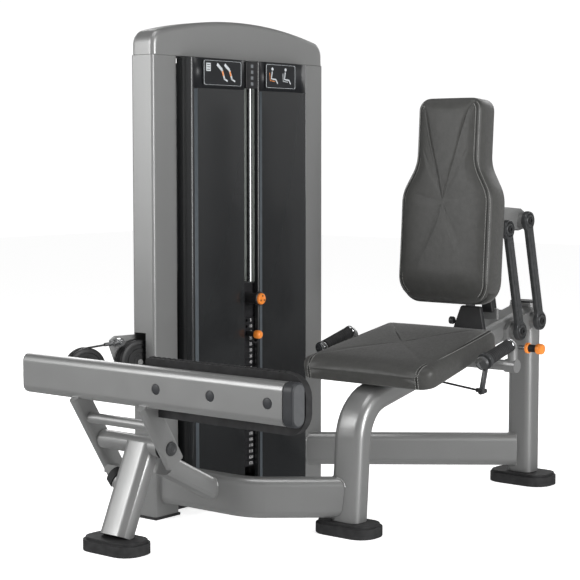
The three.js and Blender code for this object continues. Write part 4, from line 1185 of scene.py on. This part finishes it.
def make_pull():
    place = (0, 760, 474)
    rod = [(0, 50), (5, 50), (5, 100), (7, 101), (7, 127), (0, 127)]
    settle(lathe("pull_rod", rod, place, (1, 0, 0)), "pull", "chrome_steel")
    flange = [(0, 126), (15, 126), (17, 127.5), (17, 135), (15, 137), (0, 137)]
    settle(lathe("pull_flange", flange, place, (1, 0, 0)), "pull", "orange_plastic")
    grip = [(0, 136), (12.5, 136), (12, 140), (12, 160), (14, 166), (0, 166)]
    settle(lathe("pull_grip", grip, place, (1, 0, 0)), "pull", "black_plastic")
    cap = [(0, 165), (16, 165), (17, 167), (17, 180), (15, 184.5), (11, 186), (0, 186)]
    piece = lathe("pull_cap", cap, place, (1, 0, 0))
    settle(piece, "pull", "orange_plastic", None, ["release_pull"])


# ---- back's links ----
def link_outline(length):
    """Half-width along a link: two round heads joined by a slimmer, smoothly blended bar."""
    head, waist = 30, 18
    sides = []
    steps = 56
    for i in range(steps + 1):
        share = 0.5 - 0.5 * math.cos(math.pi * i / steps)
        at = -head + (length + 2 * head) * share
        near = min(abs(at), abs(at - length))
        circle = math.sqrt(max(0, head * head - near * near))
        inside = 0 <= at <= length
        bar = waist if inside else 0
        blend = (circle ** 6 + bar ** 6) ** (1 / 6)
        sides.append((at, min(blend, head)))
    left = [Vector((at, w)) for at, w in sides]
    right = [Vector((at, -w)) for at, w in reversed(sides[1:-1])]
    return left + right


def make_link(node, side, which, body):
    y0 = LINKS["y"] + which * LINKS["base_y"]
    z0 = LINKS["z"] + which * LINKS["base_z"]
    y1 = LINKS["top_y"] + which * LINKS["base_y"]
    z1 = LINKS["top_z"] + which * LINKS["base_z"]
    along = Vector((y1 - y0, z1 - z0))
    length = along.length
    along.normalize()
    across = Vector((-along.y, along.x))
    inner = LINKS["inner"]

    def put(a, b, x):
        p = along * a + across * b
        return (side * x, y0 + p.x, z0 + p.y)

    outline = link_outline(length)
    plate = slab(f"{node}_cast", outline, inner + 2, inner + 17, put, 3)
    settle(plate, body, "dark_cast", None, [node])
    rib = [
        (34, -9, 7), (length - 34, -9, 7), (length - 34, 9, 7), (34, 9, 7),
    ]
    raised = slab(f"{node}_rib", rounded(rib), inner + 16, inner + 18.5, put, 2)
    settle(raised, body, "dark_cast")
    for end, at in (("low", 0), ("top", length)):
        place = put(at, 0, 0)
        boss = [
            (0, inner), (24, inner), (24, inner + 2), (29, inner + 2.5), (29.5, inner + 16),
            (28, inner + 18), (24, inner + 18.5), (23, inner + 17), (20, inner + 17), (19, inner + 19),
            (17, inner + 20), (14, inner + 20), (13, inner + 18), (0, inner + 18),
        ]
        ring = lathe(f"{node}_{end}_boss", boss, (0, place[1], place[2]), (side, 0, 0))
        settle(ring, body, "dark_cast")
        bolt = [
            (0, inner + 17), (10.5, inner + 17), (10.5, inner + 21), (9, inner + 23),
            (6, inner + 23.4), (6, inner + 19), (0, inner + 19),
        ]
        head = lathe(f"{node}_{end}_bolt", bolt, (0, place[1], place[2]), (side, 0, 0), 48)
        settle(head, body, "dark_cast", BOLT_BLACK)


def make_links():
    for name, which in (("front", 0), ("rear", 1)):
        for side, word in ((1, "left"), (-1, "right")):
            make_link(f"{name}_link_{word}", side, which, f"{name}_links")


def make_under_back():
    """The bracket, plate and strut between the seat's beam and the back pad."""
    outline = rounded([(-48, 0, 6), (68, 0, 6), (53, 78, 8), (-18, 78, 8)])
    bracket = slab("beam_cover_moulding", outline, 598, 616, lambda x, z, y: (x, y, 534 + z), 4)
    settle(bracket, "frame", "black_plastic", None, ["beam_cover"])
    plate = rounded([(-10, 0, 4), (70, 0, 4), (70, 36, 4), (-10, 36, 4)])
    grey = slab("under_back_plate", plate, 672, 684, lambda x, z, y: (x, y, 566 + z), 1.5)
    settle(grey, "frame", "silver_paint")
    strut = rounded([(26, 0, 5), (66, 0, 5), (58, 44, 5), (24, 44, 5)])
    black = slab("under_back_strut", strut, 652, 668, lambda x, z, y: (x, y, 590 + z), 3)
    settle(black, "frame", "black_plastic")
    bolt = [(0, 0), (11, 0), (12, 2), (12, 12), (9, 14), (0, 14)]
    settle(lathe("beam_cover_bolt", bolt, (-46, 604, 563), (-1, 0, 0), 32), "frame", "dark_cast")


# Near black for the seam line: painted shade.
SEAM_PAINTED_SHADE = print_and_painted_light("seam_shade", (0.012, 0.012, 0.011))
WHITE_PRINT = print_and_painted_light("white_print", (0.9, 0.9, 0.9))
# Grey-green of the wall behind the stack: painted light on black plastic.
WALL_PAINTED_LIGHT = print_and_painted_light("stack_wall_painted_light", (0.25, 0.27, 0.25))
# Blue-grey of the fold strips: a painted highlight.
PAINTED_FOLD_HIGHLIGHT = print_and_painted_light("fold_painted_highlight", (0.075, 0.088, 0.10))
GREY_PRINT = print_and_painted_light("grey_print", (0.16, 0.17, 0.18))
END_GREY = print_and_painted_light("end_grey", (0.085, 0.088, 0.092))
BOLT_BLACK = print_and_painted_light("bolt_black", (0.02, 0.02, 0.021))

make_frame()
for first, second in WELDS:
    weld_bead(first, second)
make_rear_post_cap()
make_stack_details()
make_rods()
make_dial()
make_pin()
make_placards()
make_slot_head()
make_shroud_details()
make_pulleys()
make_footplate()
make_tread_ribs()
make_pivot()
make_handles()
make_pull()
make_links()
make_under_back()
make_seat()
make_back()
